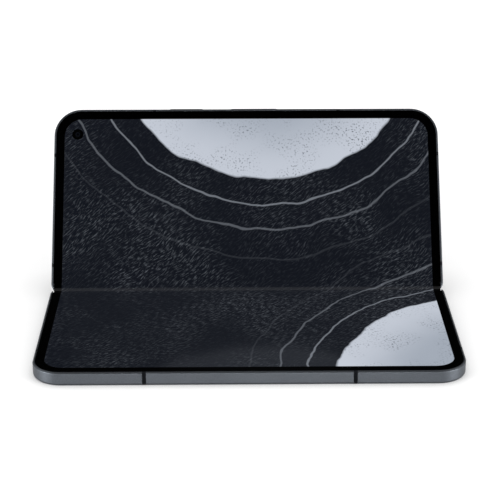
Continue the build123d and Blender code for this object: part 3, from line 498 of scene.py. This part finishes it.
def ring_distance(tree, middles, from_flat):
    """How far a point lies from the nearest of some upright axes, in millimetres."""
    here = add_node(tree, "TexCoord").outputs["Object"]
    upright = (from_flat.to_3x3() @ Vector((0, 0, 1))) / MM
    nearest = None
    for middle in middles:
        off = add_node(tree, "VectorMath", {0: here, 1: from_flat @ (middle * MM)},
                       operation="SUBTRACT")
        crossed = add_node(tree, "VectorMath", {0: off, 1: upright}, operation="CROSS_PRODUCT")
        away = add_node(tree, "VectorMath", {0: crossed}, operation="LENGTH").outputs["Value"]
        nearest = away if nearest is None else add_node(tree, "Math", {0: nearest, 1: away},
                                                        operation="MINIMUM")
    return nearest


island_middle = flat_centre("camera_island", UPPER_FROM_FLAT)
lens_middles = [island_middle + Vector((x, y, 0)) for x, y in LENS_OFFSETS]
flash_middle = flat_centre("flash_lens", UPPER_FROM_FLAT)
coil_middle = flat_centre("charging_coil", UPPER_FROM_FLAT)
inner_middle = flat_centre("inner_camera", UPPER_FROM_FLAT)
cover_middle = flat_centre("cover_camera", LOWER_FROM_FLAT)
print("lenses at", [tuple(round(v, 1) for v in middle.xy) for middle in lens_middles])

# %% [markdown]
# ## Glass
# The cover screen is polished glass over a black panel: it mirrors the room, and finger marks
# change its gloss a little. The back is the same glass etched to a satin finish over a slate
# coating. Each window for a camera is clear in its middle and printed black round it. Glass has an
# index of 1.5.

# %% Glass
SMEAR = 12  # mm; the width of a finger mark
ETCH = 0.12  # mm; real etching is finer, drawn coarser so that it shows
COVER_CLEAR = 2.4  # radius of the clear window over the cover screen's camera
REAR_CLEAR = 3.3  # and of those over the rear cameras


def outer_glass(tree, hex_colour, roughness, clear=None):
    """Coated glass with smears in its gloss. clear is (middles, half's matrix, radius)."""
    place = add_node(tree, "TexCoord").outputs["Object"]
    smears = add_node(tree, "TexNoise", {"Vector": place, "Scale": 1 / (SMEAR * MM), "Detail": 4.0,
                                         "Distortion": 2.0})
    etch = add_node(tree, "TexNoise", {"Vector": place, "Scale": 1 / (ETCH * MM)})
    gloss = add_node(tree, "MapRange", {"Value": smears, "From Min": 0.35, "From Max": 0.65,
                                        "To Min": roughness, "To Max": roughness * 1.3})
    tone = add_node(tree, "MapRange", {**NOISE, "Value": etch, "To Min": 0.9, "To Max": 1.1})
    colour = add_node(tree, "VectorMath", {0: linear(hex_colour)[:3], "Scale": tone},
                      operation="SCALE")
    glass = add_node(tree, "BsdfPrincipled", {"Base Color": colour, "Roughness": gloss,
                                              "IOR": 1.5})
    if not clear:
        return glass
    middles, from_flat, radius = clear
    inside = add_node(tree, "Math", {0: ring_distance(tree, middles, from_flat), 1: radius},
                      operation="LESS_THAN")
    pane = add_node(tree, "BsdfTransparent", {"Color": linear("#f2f4f6")})
    return add_node(tree, "MixShader", {0: inside, 1: glass, 2: pane})


cover_window = ([cover_middle], LOWER_FROM_FLAT, COVER_CLEAR)
rear_windows = (lens_middles, UPPER_FROM_FLAT, REAR_CLEAR)
finish(("cover_glass",), "polished_cover_glass", outer_glass, "#060708", 0.06, cover_window)
finish(("back_glass",), "etched_slate_glass", outer_glass, "#3a3f46", 0.32)
finish(("cover_panel",), "black_display_panel", outer_glass, "#050506", 0.2)
finish(("lens_windows",), "lens_window_glass", outer_glass, "#040405", 0.05, rear_windows)

# %% [markdown]
# ## Coated lenses
# The front lens of a camera is a dark, strongly curved glass. The trace of blue and violet that its
# coating against reflections throws back is painted into its colour as a painted reflection, in
# rings that follow the curve, and the black of the pupil in its middle is painted shade. A clear
# coat gives the sharp glint. The camera in the inner screen lies under the screen's own coating,
# so next to nothing is left of its glint.

# %% Coated lenses
DUST = 0.3  # mm; drawn coarser so that it shows
COVER_LENS = 1.2  # radius
# The rings of painted reflection are drawn out to BARREL_EDGE radii.
BARREL_EDGE = 1.25  # the coating is drawn out to here, in radii


def coated_lens(tree, middles, from_flat, radius, painted_reflection_tint, glint=0.25):
    """A coated lens: a pupil of painted shade, rings of the coating's painted reflection, then the black of its barrel.
    """
    away = ring_distance(tree, middles, from_flat)
    share = add_node(tree, "MapRange", {"Value": away, "From Max": radius * BARREL_EDGE})
    # Painted shade in the pupil and the coating's painted reflection in the rings, drawn into the base colour.
    rings = add_node(tree, "ValToRGB", {0: share},
                     stops=((0.26, "#010102"), (0.3, "#101218"), (0.6, painted_reflection_tint), (0.76, "#14161b"),
                            (0.8, "#040405"), (1.0, "#030303")))
    dust = add_node(tree, "TexNoise", {"Vector": add_node(tree, "TexCoord").outputs["Object"],
                                       "Scale": 1 / (DUST * MM)})
    gloss = add_node(tree, "MapRange", {"Value": dust, "From Min": 0.4, "From Max": 0.7,
                                        "To Min": 0.08, "To Max": 0.2})
    return add_node(tree, "BsdfPrincipled", {
        "Base Color": rings, "Roughness": gloss, "IOR": 1.5, "Specular IOR Level": 0.8 * glint,
        "Coat Weight": glint, "Coat Roughness": 0.03})


finish(("cover_camera",), "cover_lens_painted_reflection", coated_lens, [cover_middle], LOWER_FROM_FLAT,
       COVER_LENS, "#161c2b")
print("the cover camera's lens is", 2 * COVER_LENS, "mm across")

# %% [markdown]
# ## Steel of the hinge
# The hinge's brackets, arms, gears and guides are moulded from steel powder and tumbled, which
# leaves a satin surface with short scratches. The wing plates, the shields over the chips, the
# socket and the card slot are drawn from sheet, with the mill's fine lines along it. The magnets
# are plated with nickel, which is smoother and a little warmer.

# %% Steel of the hinge
SCRATCH = 0.15  # mm; tumbling leaves finer ones, drawn coarser so that they show
STAIN = 5  # mm; the tint that the oven leaves


def satin_steel(tree, hex_colour, roughness, lines):
    """Steel with fine lines drawn out along X, by a factor of lines."""
    place = add_node(tree, "TexCoord").outputs["Object"]
    drawn = add_node(tree, "VectorMath", {0: place, 1: (1 / lines, 1.0, 1.0)},
                     operation="MULTIPLY")
    scratches = add_node(tree, "TexNoise", {"Vector": drawn, "Scale": 1 / (SCRATCH * MM),
                                            "Detail": 4.0})
    stain = add_node(tree, "TexNoise", {"Vector": place, "Scale": 1 / (STAIN * MM)})
    tone = add_node(tree, "MapRange", {**NOISE, "Value": stain, "To Min": 0.88, "To Max": 1.06})
    return grained(tree, hex_colour, tone, scratches, 0.3, (roughness - 0.07, roughness + 0.09),
                   {"Metallic": 1.0})


finish(("swing_brackets", "upper_swing_arms", "lower_swing_arms", "upper_arm_screws",
        "lower_arm_screws", "lower_idler_gears", "upper_idler_gears", "upper_gear_arms",
        "lower_gear_arms", "gear_carriers", "gear_shafts", "upper_lever_guides",
        "lower_lever_guides"), "sintered_steel", satin_steel, "#bfc1c4", 0.35, 3)
finish(("upper_wing_plate", "lower_wing_plate", "sim_slot", "board_shields", "vibration_motor",
        "button_switches", "usb_socket"), "sheet_steel", satin_steel, "#c4c6c9", 0.28, 12)
finish(("lower_magnets", "upper_magnets"), "nickel_plate", satin_steel, "#cfcac0", 0.18, 1)

# %% [markdown]
# ## What lies inside
# The glass hides these, and they show only when the model is taken apart. A board has green
# solder mask over copper tracks, which stand up a little under it. A battery is a laminated
# aluminium pouch with shallow creases. The charging coil is flat copper winding, so its turns are
# rings round its middle. The flash is the one of these that shows, through the island: a clear
# cover moulded in rings over a yellow phosphor.

# %% What lies inside
RIDGE_PITCH = 0.3  # of the flash's rings
TRACK_NET = 1.6  # between tracks on a board; real ones are finer, drawn coarser so that they show
CREASE = 7  # mm from crease to crease
TURN_PITCH = 0.8  # of the coil's winding


def ribbed_diffuser(tree, middle):
    """A clear diffuser moulded in rings over yellow phosphor."""
    away = ring_distance(tree, [middle], UPPER_FROM_FLAT)
    ridge = add_node(tree, "Math", {0: away, 1: RIDGE_PITCH / 2}, operation="PINGPONG")
    glow = add_node(tree, "MapRange", {"Value": away, "From Min": 0.3, "From Max": 1.5})
    colour = add_node(tree, "ValToRGB", {0: glow},
                      stops=((0.0, "#e0c46c"), (0.5, "#e9dfb8"), (1.0, "#d9d8d2")))
    bump = add_node(tree, "Bump", {"Height": ridge, "Strength": 0.7, "Distance": 0.5 * MM})
    return add_node(tree, "BsdfPrincipled", {
        "Base Color": colour, "Roughness": 0.15, "IOR": 1.5, "Coat Weight": 0.5, "Normal": bump})


def circuit_board(tree):
    """Solder mask over a net of copper tracks."""
    place = add_node(tree, "TexCoord").outputs["Object"]
    net = add_node(tree, "TexVoronoi", {"Vector": place, "Scale": 1 / (TRACK_NET * MM)},
                   feature="DISTANCE_TO_EDGE", distance="CHEBYCHEV")
    track = add_node(tree, "MapRange", {"Value": net.outputs["Distance"], "From Min": 0.06,
                                        "From Max": 0.1, "To Min": 1.0, "To Max": 0.0})
    colour = add_node(tree, "Mix", {0: track, 6: linear("#0d3626"), 7: linear("#2c6a42")},
                      data_type="RGBA")
    bump = add_node(tree, "Bump", {"Height": track, "Strength": 0.5, "Distance": 0.03 * MM})
    return add_node(tree, "BsdfPrincipled", {
        "Base Color": colour.outputs[2], "Roughness": 0.3, "IOR": 1.55, "Normal": bump})


def creased_pouch(tree):
    """Grey laminated foil with shallow creases."""
    place = add_node(tree, "TexCoord").outputs["Object"]
    creases = add_node(tree, "TexNoise", {"Vector": place, "Scale": 1 / (CREASE * MM),
                                          "Detail": 3.0, "Distortion": 1.0})
    gloss = add_node(tree, "MapRange", {**NOISE, "Value": creases, "To Min": 0.38, "To Max": 0.5})
    bump = add_node(tree, "Bump", {"Height": creases, "Strength": 0.4, "Distance": 0.3 * MM})
    return add_node(tree, "BsdfPrincipled", {
        "Base Color": linear("#3c3e41"), "Metallic": 1.0, "Roughness": gloss, "Normal": bump})


def wound_copper(tree, middle):
    """Flat copper winding: rings a pitch apart round the coil's middle."""
    away = ring_distance(tree, [middle], UPPER_FROM_FLAT)
    turn = add_node(tree, "Math", {0: away, 1: TURN_PITCH / 2}, operation="PINGPONG")
    wire = add_node(tree, "MapRange", {"Value": turn, "From Min": 0.05, "From Max": 0.15})
    colour = add_node(tree, "Mix", {0: wire, 6: linear("#3b2216"), 7: linear("#d98c62")},
                      data_type="RGBA")
    bump = add_node(tree, "Bump", {"Height": wire, "Strength": 0.6, "Distance": 0.1 * MM})
    return add_node(tree, "BsdfPrincipled", {
        "Base Color": colour.outputs[2], "Metallic": 1.0, "Roughness": 0.3, "Normal": bump})


finish(("lower_board", "main_board", "usb_board"), "green_solder_mask", circuit_board)
finish(("lower_battery", "upper_battery"), "battery_pouch", creased_pouch)
finish(("charging_coil",), "copper_winding", wound_copper, coil_middle)
finish(("flash_lens",), "flash_diffuser", ribbed_diffuser, flash_middle)

# %% [markdown]
# ## The picture on the screen
# The inner screen is lit. Its picture is a plain abstract one: a dark slate ground with fine pale
# strokes, large pale discs at its edges and thin lines that echo them. It is drawn by formula from
# two lengths in millimetres: how far a point lies along the hinge, and how far across it, measured
# along the glass. So it runs over the fold without a break. The panel leaves a black border, and
# near-black glass lies over everything.

# %% The picture's design
SCREEN_RIM = 4.15  # from the phone's outer edge to the lit area
SCREEN_CORNER = 7.3  # corners of the lit area
half_width = high.x / MM
half_length = (CENTRE_LINE - low.y) / MM
LIT_HALF = (half_width - SCREEN_RIM, half_length - SCREEN_RIM)
DISCS = (((8.0, 108.0), 62.0), ((104.0, -78.0), 72.0))  # centres and radii
ECHO_GAP = 11.0  # between the thin lines
ECHO_WIDTH = 0.5  # of each thin line
STROKE = (0.45, 2.4)  # width and length of a stroke in the ground
STROKE_LEAN = -38  # degrees
SPECK = 0.8  # of the dark specks on the discs
PATCH = 40  # the strokes come and go over such lengths
CLUSTER = 14  # and the specks over these
HAZE = 26  # the design's edges wander over such lengths
WANDER = (9.0, 9.0, 0.0)  # and by up to half as much, along and across
print("lit area:", [round(2 * value, 1) for value in LIT_HALF], "mm")


# %% The picture's nodes
def ground(tree, place, bent):
    """Dark slate with fine pale strokes that lean and wander. bent is the place, pushed about."""
    turned = add_node(tree, "VectorRotate", {"Vector": bent, "Angle": math.radians(STROKE_LEAN)},
                      rotation_type="Z_AXIS")
    width, length = STROKE
    laid = add_node(tree, "VectorMath", {0: turned, 1: (1 / length, 1 / width, 0.0)},
                    operation="MULTIPLY")
    strokes = add_node(tree, "TexNoise", {"Vector": laid, "Scale": 1.0, "Detail": 3.0,
                                          "Roughness": 0.6})
    patches = add_node(tree, "TexNoise", {"Vector": place, "Scale": 1 / PATCH, "Detail": 2.0})
    level = add_node(tree, "MapRange", {"Value": patches, "From Min": 0.35, "From Max": 0.7,
                                        "To Min": 0.12, "To Max": 1.0},
                     interpolation_type="SMOOTHSTEP")
    strength = add_node(tree, "MapRange", {"Value": strokes, "From Min": 0.48, "From Max": 0.78},
                        interpolation_type="SMOOTHSTEP")
    share = add_node(tree, "Math", {0: strength, 1: level}, operation="MULTIPLY")
    return add_node(tree, "Mix", {0: share, 6: linear("#13161d"), 7: linear("#63686f")},
                    data_type="RGBA").outputs[2]


def echo_lines(tree, under, edge):
    """Thin lines outside a disc, fading away from it. edge is the distance from its edge."""
    wave = add_node(tree, "Math", {0: edge, 1: ECHO_GAP / 2}, operation="PINGPONG")
    line = add_node(tree, "MapRange", {"Value": wave, "From Min": ECHO_WIDTH / 2,
                                       "From Max": ECHO_WIDTH, "To Min": 1.0, "To Max": 0.0})
    away = add_node(tree, "MapRange", {"Value": edge, "From Min": 2.0, "From Max": 3.2 * ECHO_GAP,
                                       "To Min": 0.42, "To Max": 0.0})
    share = add_node(tree, "Math", {0: line, 1: away}, operation="MULTIPLY")
    return add_node(tree, "Mix", {0: share, 6: under, 7: linear("#b9c0cb")},
                    data_type="RGBA").outputs[2]


def disc_colour(tree, place, edge):
    """Pale grey, brighter towards the disc's edge, with clusters of dark specks."""
    specks = add_node(tree, "TexNoise", {"Vector": place, "Scale": 1 / SPECK, "Detail": 3.0})
    clusters = add_node(tree, "TexNoise", {"Vector": place, "Scale": 1 / CLUSTER, "Detail": 1.0})
    dark = add_node(tree, "MapRange", {"Value": specks, "From Min": 0.56, "From Max": 0.66})
    thick = add_node(tree, "MapRange", {"Value": clusters, "From Min": 0.42, "From Max": 0.66,
                                        "To Max": 0.9})
    dark = add_node(tree, "Math", {0: dark, 1: thick}, operation="MULTIPLY")
    rise = add_node(tree, "MapRange", {"Value": edge, "From Min": -30.0, "From Max": -1.0},
                    interpolation_type="SMOOTHSTEP")
    tone = add_node(tree, "Mix", {0: rise, 6: linear("#a3abb7"), 7: linear("#c3c9d4")},
                    data_type="RGBA")
    return add_node(tree, "Mix", {0: dark, 6: tone.outputs[2], 7: linear("#4c525b")},
                    data_type="RGBA").outputs[2]


def pale_disc(tree, under, bent, place, centre, radius):
    """A pale disc with a soft edge, laid over what is there, and its echoes outside."""
    off = add_node(tree, "VectorMath", {0: bent, 1: (*centre, 0.0)}, operation="DISTANCE")
    edge = add_node(tree, "Math", {0: off.outputs["Value"], 1: radius}, operation="SUBTRACT")
    inside = add_node(tree, "MapRange", {"Value": edge, "From Min": -0.35, "From Max": 0.25,
                                         "To Min": 1.0, "To Max": 0.0})
    return add_node(tree, "Mix", {0: inside, 6: echo_lines(tree, under, edge),
                                  7: disc_colour(tree, place, edge)},
                    data_type="RGBA").outputs[2]


def lit_share(tree, place):
    """1 on the lit area and 0 on its black border and round corners."""
    corner = (LIT_HALF[0] - SCREEN_CORNER, LIT_HALF[1] - SCREEN_CORNER, 0.0)
    folded = add_node(tree, "VectorMath", {0: place}, operation="ABSOLUTE")
    past = add_node(tree, "VectorMath", {0: folded, 1: corner}, operation="SUBTRACT")
    past = add_node(tree, "VectorMath", {0: past, 1: (0.0, 0.0, 0.0)}, operation="MAXIMUM")
    out = add_node(tree, "VectorMath", {0: past}, operation="LENGTH")
    return add_node(tree, "MapRange", {"Value": out.outputs["Value"], "To Min": 1.0, "To Max": 0.0,
                                       "From Min": SCREEN_CORNER - 0.1, "From Max": SCREEN_CORNER})


def lit_screen(tree, place_of):
    """The lit screen, for a piece whose place on the screen is worked out by place_of."""
    place = place_of(tree)
    haze = add_node(tree, "TexNoise", {"Vector": place, "Scale": 1 / HAZE, "Detail": 3.0})
    push = add_node(tree, "VectorMath", {0: haze.outputs["Color"], 1: (0.5, 0.5, 0.5)},
                    operation="SUBTRACT")
    bent = add_node(tree, "VectorMath", {0: push, 1: WANDER, 2: place}, operation="MULTIPLY_ADD")
    picture = ground(tree, place, bent)
    for centre, radius in DISCS:
        picture = pale_disc(tree, picture, bent, place, centre, radius)
    shown = add_node(tree, "Mix", {0: lit_share(tree, place), 6: linear("#000000"), 7: picture},
                     data_type="RGBA")
    return add_node(tree, "BsdfPrincipled", {
        "Base Color": linear("#020202"), "Roughness": 0.12, "IOR": 1.5, "Specular IOR Level": 0.05,
        "Emission Color": shown.outputs[2], "Emission Strength": 1.0})


# %% [markdown]
# ## The flat stretches of the screen
# Each half carries a stiff, flat stretch of the screen. The CAD node has the right shape, so it
# only needs the picture. Its points are turned back from where the half stands to where they lie
# on the open screen, by the half's own matrix.

# %% The flat stretches of the screen
def flat_place(from_flat, side):
    """Nodes that turn a point of a half into its place on the open screen, in millimetres."""
    to_flat = from_flat.inverted()

    def place_of(tree):
        here = add_node(tree, "TexCoord").outputs["Object"]
        along = add_node(tree, "VectorMath", {0: here, 1: (1 / MM, 0.0, 0.0)},
                         operation="DOT_PRODUCT")
        row = to_flat[1]
        across = add_node(tree, "VectorMath", {0: here, 1: tuple(v / MM for v in row[:3])},
                          operation="DOT_PRODUCT")
        shifted = add_node(tree, "Math", {0: across.outputs["Value"], 1: row[3] / MM})
        signed = add_node(tree, "Math", {0: shifted, 1: side}, operation="MULTIPLY")
        return add_node(tree, "CombineXYZ", {"X": along.outputs["Value"], "Y": signed})
    return place_of


finish(("lower_display",), "lit_screen_lower", lit_screen, flat_place(LOWER_FROM_FLAT, -1))
finish(("upper_display",), "lit_screen_upper", lit_screen, flat_place(UPPER_FROM_FLAT, 1))

# %% [markdown]
# ## The bend of the screen
# Between the flat stretches the screen is a free sheet a third of a millimetre thick, and it
# bends in one soft round. A rigid solid can't open and close. This stretch is modelled twice, as a
# lower and an upper ribbon that meet at the hinge's middle, in this pose. Each runs on from its
# half's flat stretch and turns smoothly round to the middle. A stored place on every point lays
# the picture on the sheet.

# %% Ribbons
PLACE_NAME = "place_on_screen"
SHARP = math.radians(28)  # an edge of a modelled piece sharper than this is shaded as sharp
MIRROR_AXIS = (upper_axis - lower_axis).normalized()
MIDDLE = (upper_axis + lower_axis) / 2


def mirrored(point):
    """A point of the lower side, seen on the upper side of the hinge's middle plane."""
    return point - 2 * (point - MIDDLE).dot(MIRROR_AXIS) * MIRROR_AXIS


def new_piece(name, bm, material):
    """A mesh object from a bmesh, smooth except at its sharp edges."""
    bmesh.ops.recalc_face_normals(bm, faces=bm.faces)
    mesh = bpy.data.meshes.new(name)
    bm.to_mesh(mesh)
    bm.free()
    mesh.shade_smooth()
    mesh.set_sharp_from_angle(angle=SHARP)
    mesh.materials.append(material)
    piece = bpy.data.objects.new(name, mesh)
    bpy.context.scene.collection.objects.link(piece)
    return piece


def ribbon(name, route, thickness, spans, upper, material):
    """A strip along X over a route of (y, z) points in millimetres, thickened downwards."""
    bm = bmesh.new()
    place_layer = bm.verts.layers.float_vector.new(PLACE_NAME)
    tops = [Vector((0, y, z)) for y, z in route]
    lengths = [0.0]
    for a, b in zip(tops, tops[1:]):
        lengths.append(lengths[-1] + (b - a).length)
    for left_x, right_x in spans:
        rows = []
        for at, top in enumerate(tops):
            run = tops[min(at + 1, len(tops) - 1)] - tops[max(at - 1, 0)]
            down = Vector((0, run.z, -run.y)).normalized() * thickness
            across = lengths[at] - lengths[-1]
            row = []
            for x, drop in ((left_x, 0), (right_x, 0), (right_x, 1), (left_x, 1)):
                point = (top + drop * down) * MM
                point.x = x * MM
                vertex = bm.verts.new(mirrored(point) if upper else point)
                vertex[place_layer] = (x, -across if upper else across, 0.0)
                row.append(vertex)
            rows.append(row)
        for first, second in zip(rows, rows[1:]):
            for k in range(4):
                bm.faces.new((first[k], first[k - 1], second[k - 1], second[k]))
        bm.faces.new(rows[0])
        bm.faces.new(rows[-1][::-1])
    return new_piece(name, bm, material)


# %% The bend of the screen
BEND_RADIUS = 4.0  # of the glass at the hinge's middle, in this pose
BEND_THICKNESS = 0.35
BEND_STEPS = 20
BLEND_REACH = 3.15  # from the centre line: outside it the sheet follows its half

screen_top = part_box("lower_display")[1].z / MM
stiff_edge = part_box("lower_display")[1].y / MM
bend_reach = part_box("display_bend")[1].x / MM
centre = CENTRE_LINE / MM
axis_y, axis_z = lower_axis.y / MM, lower_axis.z / MM
axis_reach = AXIS_REACH / MM
rise = screen_top + BEND_RADIUS - axis_z - axis_reach * math.sin(HALF_FOLD)
round_y = axis_y + axis_reach * math.cos(HALF_FOLD) - rise * math.tan(HALF_FOLD)
flat_run = [(y, screen_top) for y in (stiff_edge, centre - BLEND_REACH,
                                      (centre - BLEND_REACH + round_y) / 2)]
bend = [(round_y + BEND_RADIUS * math.sin(a), screen_top + BEND_RADIUS * (1 - math.cos(a)))
        for a in (HALF_FOLD * k / BEND_STEPS for k in range(BEND_STEPS + 1))]


def stored_place(tree):
    """The place stored on a ribbon's points."""
    return add_node(tree, "Attribute", attribute_name=PLACE_NAME).outputs["Vector"]


sheet = new_material("lit_screen_bend", lit_screen, stored_place)
spans = [(-bend_reach, bend_reach)]
lower_bend, upper_bend = [
    ribbon(f"{half}_bend", flat_run + bend, BEND_THICKNESS, spans, half == "upper", sheet) for half in ("lower", "upper")]
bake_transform(lower_bend)
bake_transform(upper_bend)
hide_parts("display_bend")
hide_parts("display_bend")
print("bend starts", round(centre - round_y, 2), "mm from the hinge's centre line")

# %% [markdown]
# ## The flat cables
# Two flat cables carry power and signals from half to half, under the screen and through the
# spine: copper tracks laminated in amber film, a seventh of a millimetre thick. Like the screen
# they are soft, so each is modelled as two ribbons that meet in the spine's middle and bend
# between their half and the spine.

# %% The flat cables
CABLE_X = 12.0  # of each cable's middle, to both sides
CABLE_WIDTH = 8.0
CABLE_THICKNESS = 0.15
CABLE_START = (13.4, 2.7)  # from the centre line, and up: its plug, beyond the hinge bay's rail
CABLE_FREE = (6.5, 2.7)  # where it leaves its half
CABLE_DIP = 1.58  # its height in the spine's middle, with the spine level
CABLE_PULL = (3.2, 2.2)  # how long it keeps its direction at its half and at the spine's middle
CABLE_SAG = -0.05  # on its way out of its half
CABLE_STEPS = 24
TRACK = 0.5  # mm from one copper track to the next, as in such a cable


def film_cable(tree):
    """Copper tracks under amber film, running along the cable."""
    parts = add_node(tree, "SeparateXYZ", {0: stored_place(tree)})
    wave = add_node(tree, "Math", {0: parts, 1: TRACK / 2}, operation="PINGPONG")
    track = add_node(tree, "MapRange", {"Value": wave, "From Min": 0.08, "From Max": 0.12})
    colour = add_node(tree, "Mix", {0: track, 6: linear("#3a2208"), 7: linear("#b0713a")},
                      data_type="RGBA")
    bump = add_node(tree, "Bump", {"Height": track, "Strength": 0.5, "Distance": 0.02 * MM})
    return add_node(tree, "BsdfPrincipled", {
        "Base Color": colour.outputs[2], "Roughness": 0.3, "IOR": 1.6, "Normal": bump})


spine_turn = (Matrix.Translation(lower_axis) @ Matrix.Rotation(HALF_FOLD, 4, "X")
              @ Matrix.Translation((0, AXIS_REACH, -FOLD_HEIGHT)))
plug = Vector((0, centre - CABLE_START[0], CABLE_START[1]))
leaves = Vector((0, centre - CABLE_FREE[0], CABLE_FREE[1]))
dip = (spine_turn @ mm(0, 0, CABLE_DIP)) / MM
level = spine_turn.to_3x3() @ Vector((0, 1, 0))
free_run = interpolate_bezier(leaves, leaves + Vector((0, CABLE_PULL[0], CABLE_SAG)),
                              dip - CABLE_PULL[1] * level, dip, CABLE_STEPS)
route = [(point.y, point.z) for point in [plug, (plug + leaves) / 2, *free_run]]
cable_film = new_material("amber_film_cable", film_cable)
spans = [(side * CABLE_X - CABLE_WIDTH / 2, side * CABLE_X + CABLE_WIDTH / 2) for side in (-1, 1)]
lower_cables, upper_cables = [
    ribbon(f"{half}_cables", route, CABLE_THICKNESS, spans, half == "upper", cable_film) for half in ("lower", "upper")]
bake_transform(lower_cables)
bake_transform(upper_cables)
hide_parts("link_cables")
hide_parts("link_cables")
span_to_middle = leaves.y - plug.y + (dip - leaves).length
print("cables:", len(spans), "with", round(span_to_middle, 1), "mm from plug to spine")

# %% [markdown]
# ## Camera optics
# Behind each window of the island stands a barrel, turned with steps that keep stray light out,
# and its front lens sits at the bottom of the steps. The camera in the inner screen has one small
# lens in a shallow cone. All of them are profiles turned round an axis, as they are on a lathe.

# %% Turned pieces
TURN_STEPS = 64  # round a lens
BLOCK_ROUND = 0.5  # of a block's edges


def turned(name, middles, profile, from_flat, body, material, slot_name, block=None):
    """Profiles of (radius, height) points turned round axes, each with a square block behind."""
    bm = bmesh.new()
    for middle in middles:
        rings = []
        for radius, height in profile:
            turns = [2 * math.pi * k / TURN_STEPS for k in range(TURN_STEPS)]
            rings.append([bm.verts.new(from_flat @ mm(middle.x + radius * math.cos(a),
                                                      middle.y + radius * math.sin(a), height))
                          for a in turns])
        for first, second in zip(rings, rings[1:]):
            for k in range(TURN_STEPS):
                bm.faces.new((first[k - 1], first[k], second[k], second[k - 1]))
        bm.faces.new(rings[0])
        bm.faces.new(rings[-1])
        if block:
            size, low_z, high_z = block
            stretch = Matrix.Diagonal((size * MM, size * MM, (high_z - low_z) * MM, 1))
            place = Matrix.Translation(mm(middle.x, middle.y, (low_z + high_z) / 2))
            cube = bmesh.ops.create_cube(bm, size=1, matrix=from_flat @ place @ stretch)
            edges = dict.fromkeys(edge for vertex in cube["verts"] for edge in vertex.link_edges)
            bmesh.ops.bevel(bm, geom=list(edges), offset=BLOCK_ROUND * MM, segments=3,
                            affect="EDGES")
    piece = new_piece(name, bm, material)
    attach(piece, body)
    return piece


# %% Camera optics
BARREL = ((3.6, 0.75), (0.2, 0.75), (1.7, 0.65), (2.0, 0.3), (2.35, 0.3), (2.35, 0.0), (2.7, 0.0),
          (2.7, -0.3), (3.0, -0.3), (3.0, -0.62), (3.3, -0.62), (3.3, -0.9), (3.6, -0.9))
BARREL_BLOCK = (9.6, 0.7, 3.3)  # side, and the heights of its two ends
REAR_LENS = (1.78, 0.62, -0.42)  # radius, height of the rim, and height of the dome over it
INNER_LENS = (1.03, 4.6, 0.13)
REAR_LENS_BACK = (1.0, 0.66)  # the last point of the profile, which closes the lens
INNER_LENS_BACK = (0.6, 4.45)
REAR_COATING = 1.8  # radius


def dome(radius, rim, rise):
    """The profile of a lens's front, from its middle out to its rim."""
    angles = [math.radians(degrees) for degrees in (1, 15, 30, 45, 60, 75, 90)]
    return [(radius * math.sin(a), rim + rise * math.cos(a)) for a in angles]


# The rear and inner lenses get the same painted reflection rings and a pupil of painted shade.
rear_glass = new_material("rear_lens_painted_reflection", coated_lens, lens_middles, UPPER_FROM_FLAT,
                          REAR_COATING, "#1d2547")
inner_glass = new_material("inner_lens_painted_reflection", coated_lens, [inner_middle], UPPER_FROM_FLAT,
                           INNER_LENS[0], "#15171d", 0.004)
barrels = turned("rear_camera_barrels", lens_middles, BARREL, UPPER_FROM_FLAT, "upper_half",
                 black_plastic, "camera_black", block=BARREL_BLOCK)
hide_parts("rear_cameras")
rear_lenses = turned("rear_lenses", lens_middles, [*dome(*REAR_LENS), REAR_LENS_BACK],
                     UPPER_FROM_FLAT, "upper_half", rear_glass, "lens_glass")
inner_lens = turned("inner_lens", [inner_middle], [*dome(*INNER_LENS), INNER_LENS_BACK],
                    UPPER_FROM_FLAT, "upper_half", inner_glass, "lens_glass")
print("lens pieces:", [piece.name for piece in (barrels, rear_lenses, inner_lens)])

# %% [markdown]
# ## Contacts of the charging socket
# The socket's tongue carries twelve gold-plated contacts on each side, half a millimetre apart,
# as its standard says. They are what makes the small dark slot read as a charging socket.

# %% Contacts of the charging socket
CONTACTS = 12
CONTACT_PITCH = 0.5
CONTACT_SIZE = (2.9, 0.26, 0.03)  # length, width and height
TONGUE_HALF = 0.35  # half of the tongue's thickness
TONGUE_TIP = 2.75  # from the socket's mouth to the contacts' near end
CONTACT_ROUND = 0.01  # of a contact's edges
WIPE = 0.08  # mm across the marks, which run ten times as long


def gold_plate(tree):
    """Thin gold over nickel, with the fine wipe marks of a plug."""
    place = add_node(tree, "TexCoord").outputs["Object"]
    wiped = add_node(tree, "VectorMath", {0: place, 1: (0.1, 1.0, 1.0)}, operation="MULTIPLY")
    marks = add_node(tree, "TexNoise", {"Vector": wiped, "Scale": 1 / (WIPE * MM)})
    gloss = add_node(tree, "MapRange", {**NOISE, "Value": marks, "To Min": 0.18, "To Max": 0.34})
    return add_node(tree, "BsdfPrincipled", {
        "Base Color": linear("#e6b65c"), "Metallic": 1.0, "Roughness": gloss})


socket_middle = flat_centre("usb_socket", UPPER_FROM_FLAT)
mouth_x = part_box("usb_socket")[1].x / MM
length, width, height = CONTACT_SIZE
bm = bmesh.new()
for side in (-1, 1):
    for k in range(CONTACTS):
        across = (k - (CONTACTS - 1) / 2) * CONTACT_PITCH
        place = Matrix.Translation(mm(mouth_x - TONGUE_TIP - length / 2, socket_middle.y + across,
                                      socket_middle.z + side * (TONGUE_HALF + height / 2)))
        stretch = Matrix.Diagonal((length * MM, width * MM, height * MM, 1))
        bmesh.ops.create_cube(bm, size=1, matrix=UPPER_FROM_FLAT @ place @ stretch)
bmesh.ops.bevel(bm, geom=bm.edges[:], offset=CONTACT_ROUND * MM, segments=2, affect="EDGES")
contacts = new_piece("socket_contacts", bm, new_material("gold_plate", gold_plate))
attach(contacts, "upper_half")
print("contacts:", 2 * CONTACTS)

# %% [markdown]
# ## The size of the finished model
# The box of the finished model has to be that of the CAD pieces.

# %% The size of the finished model
import json
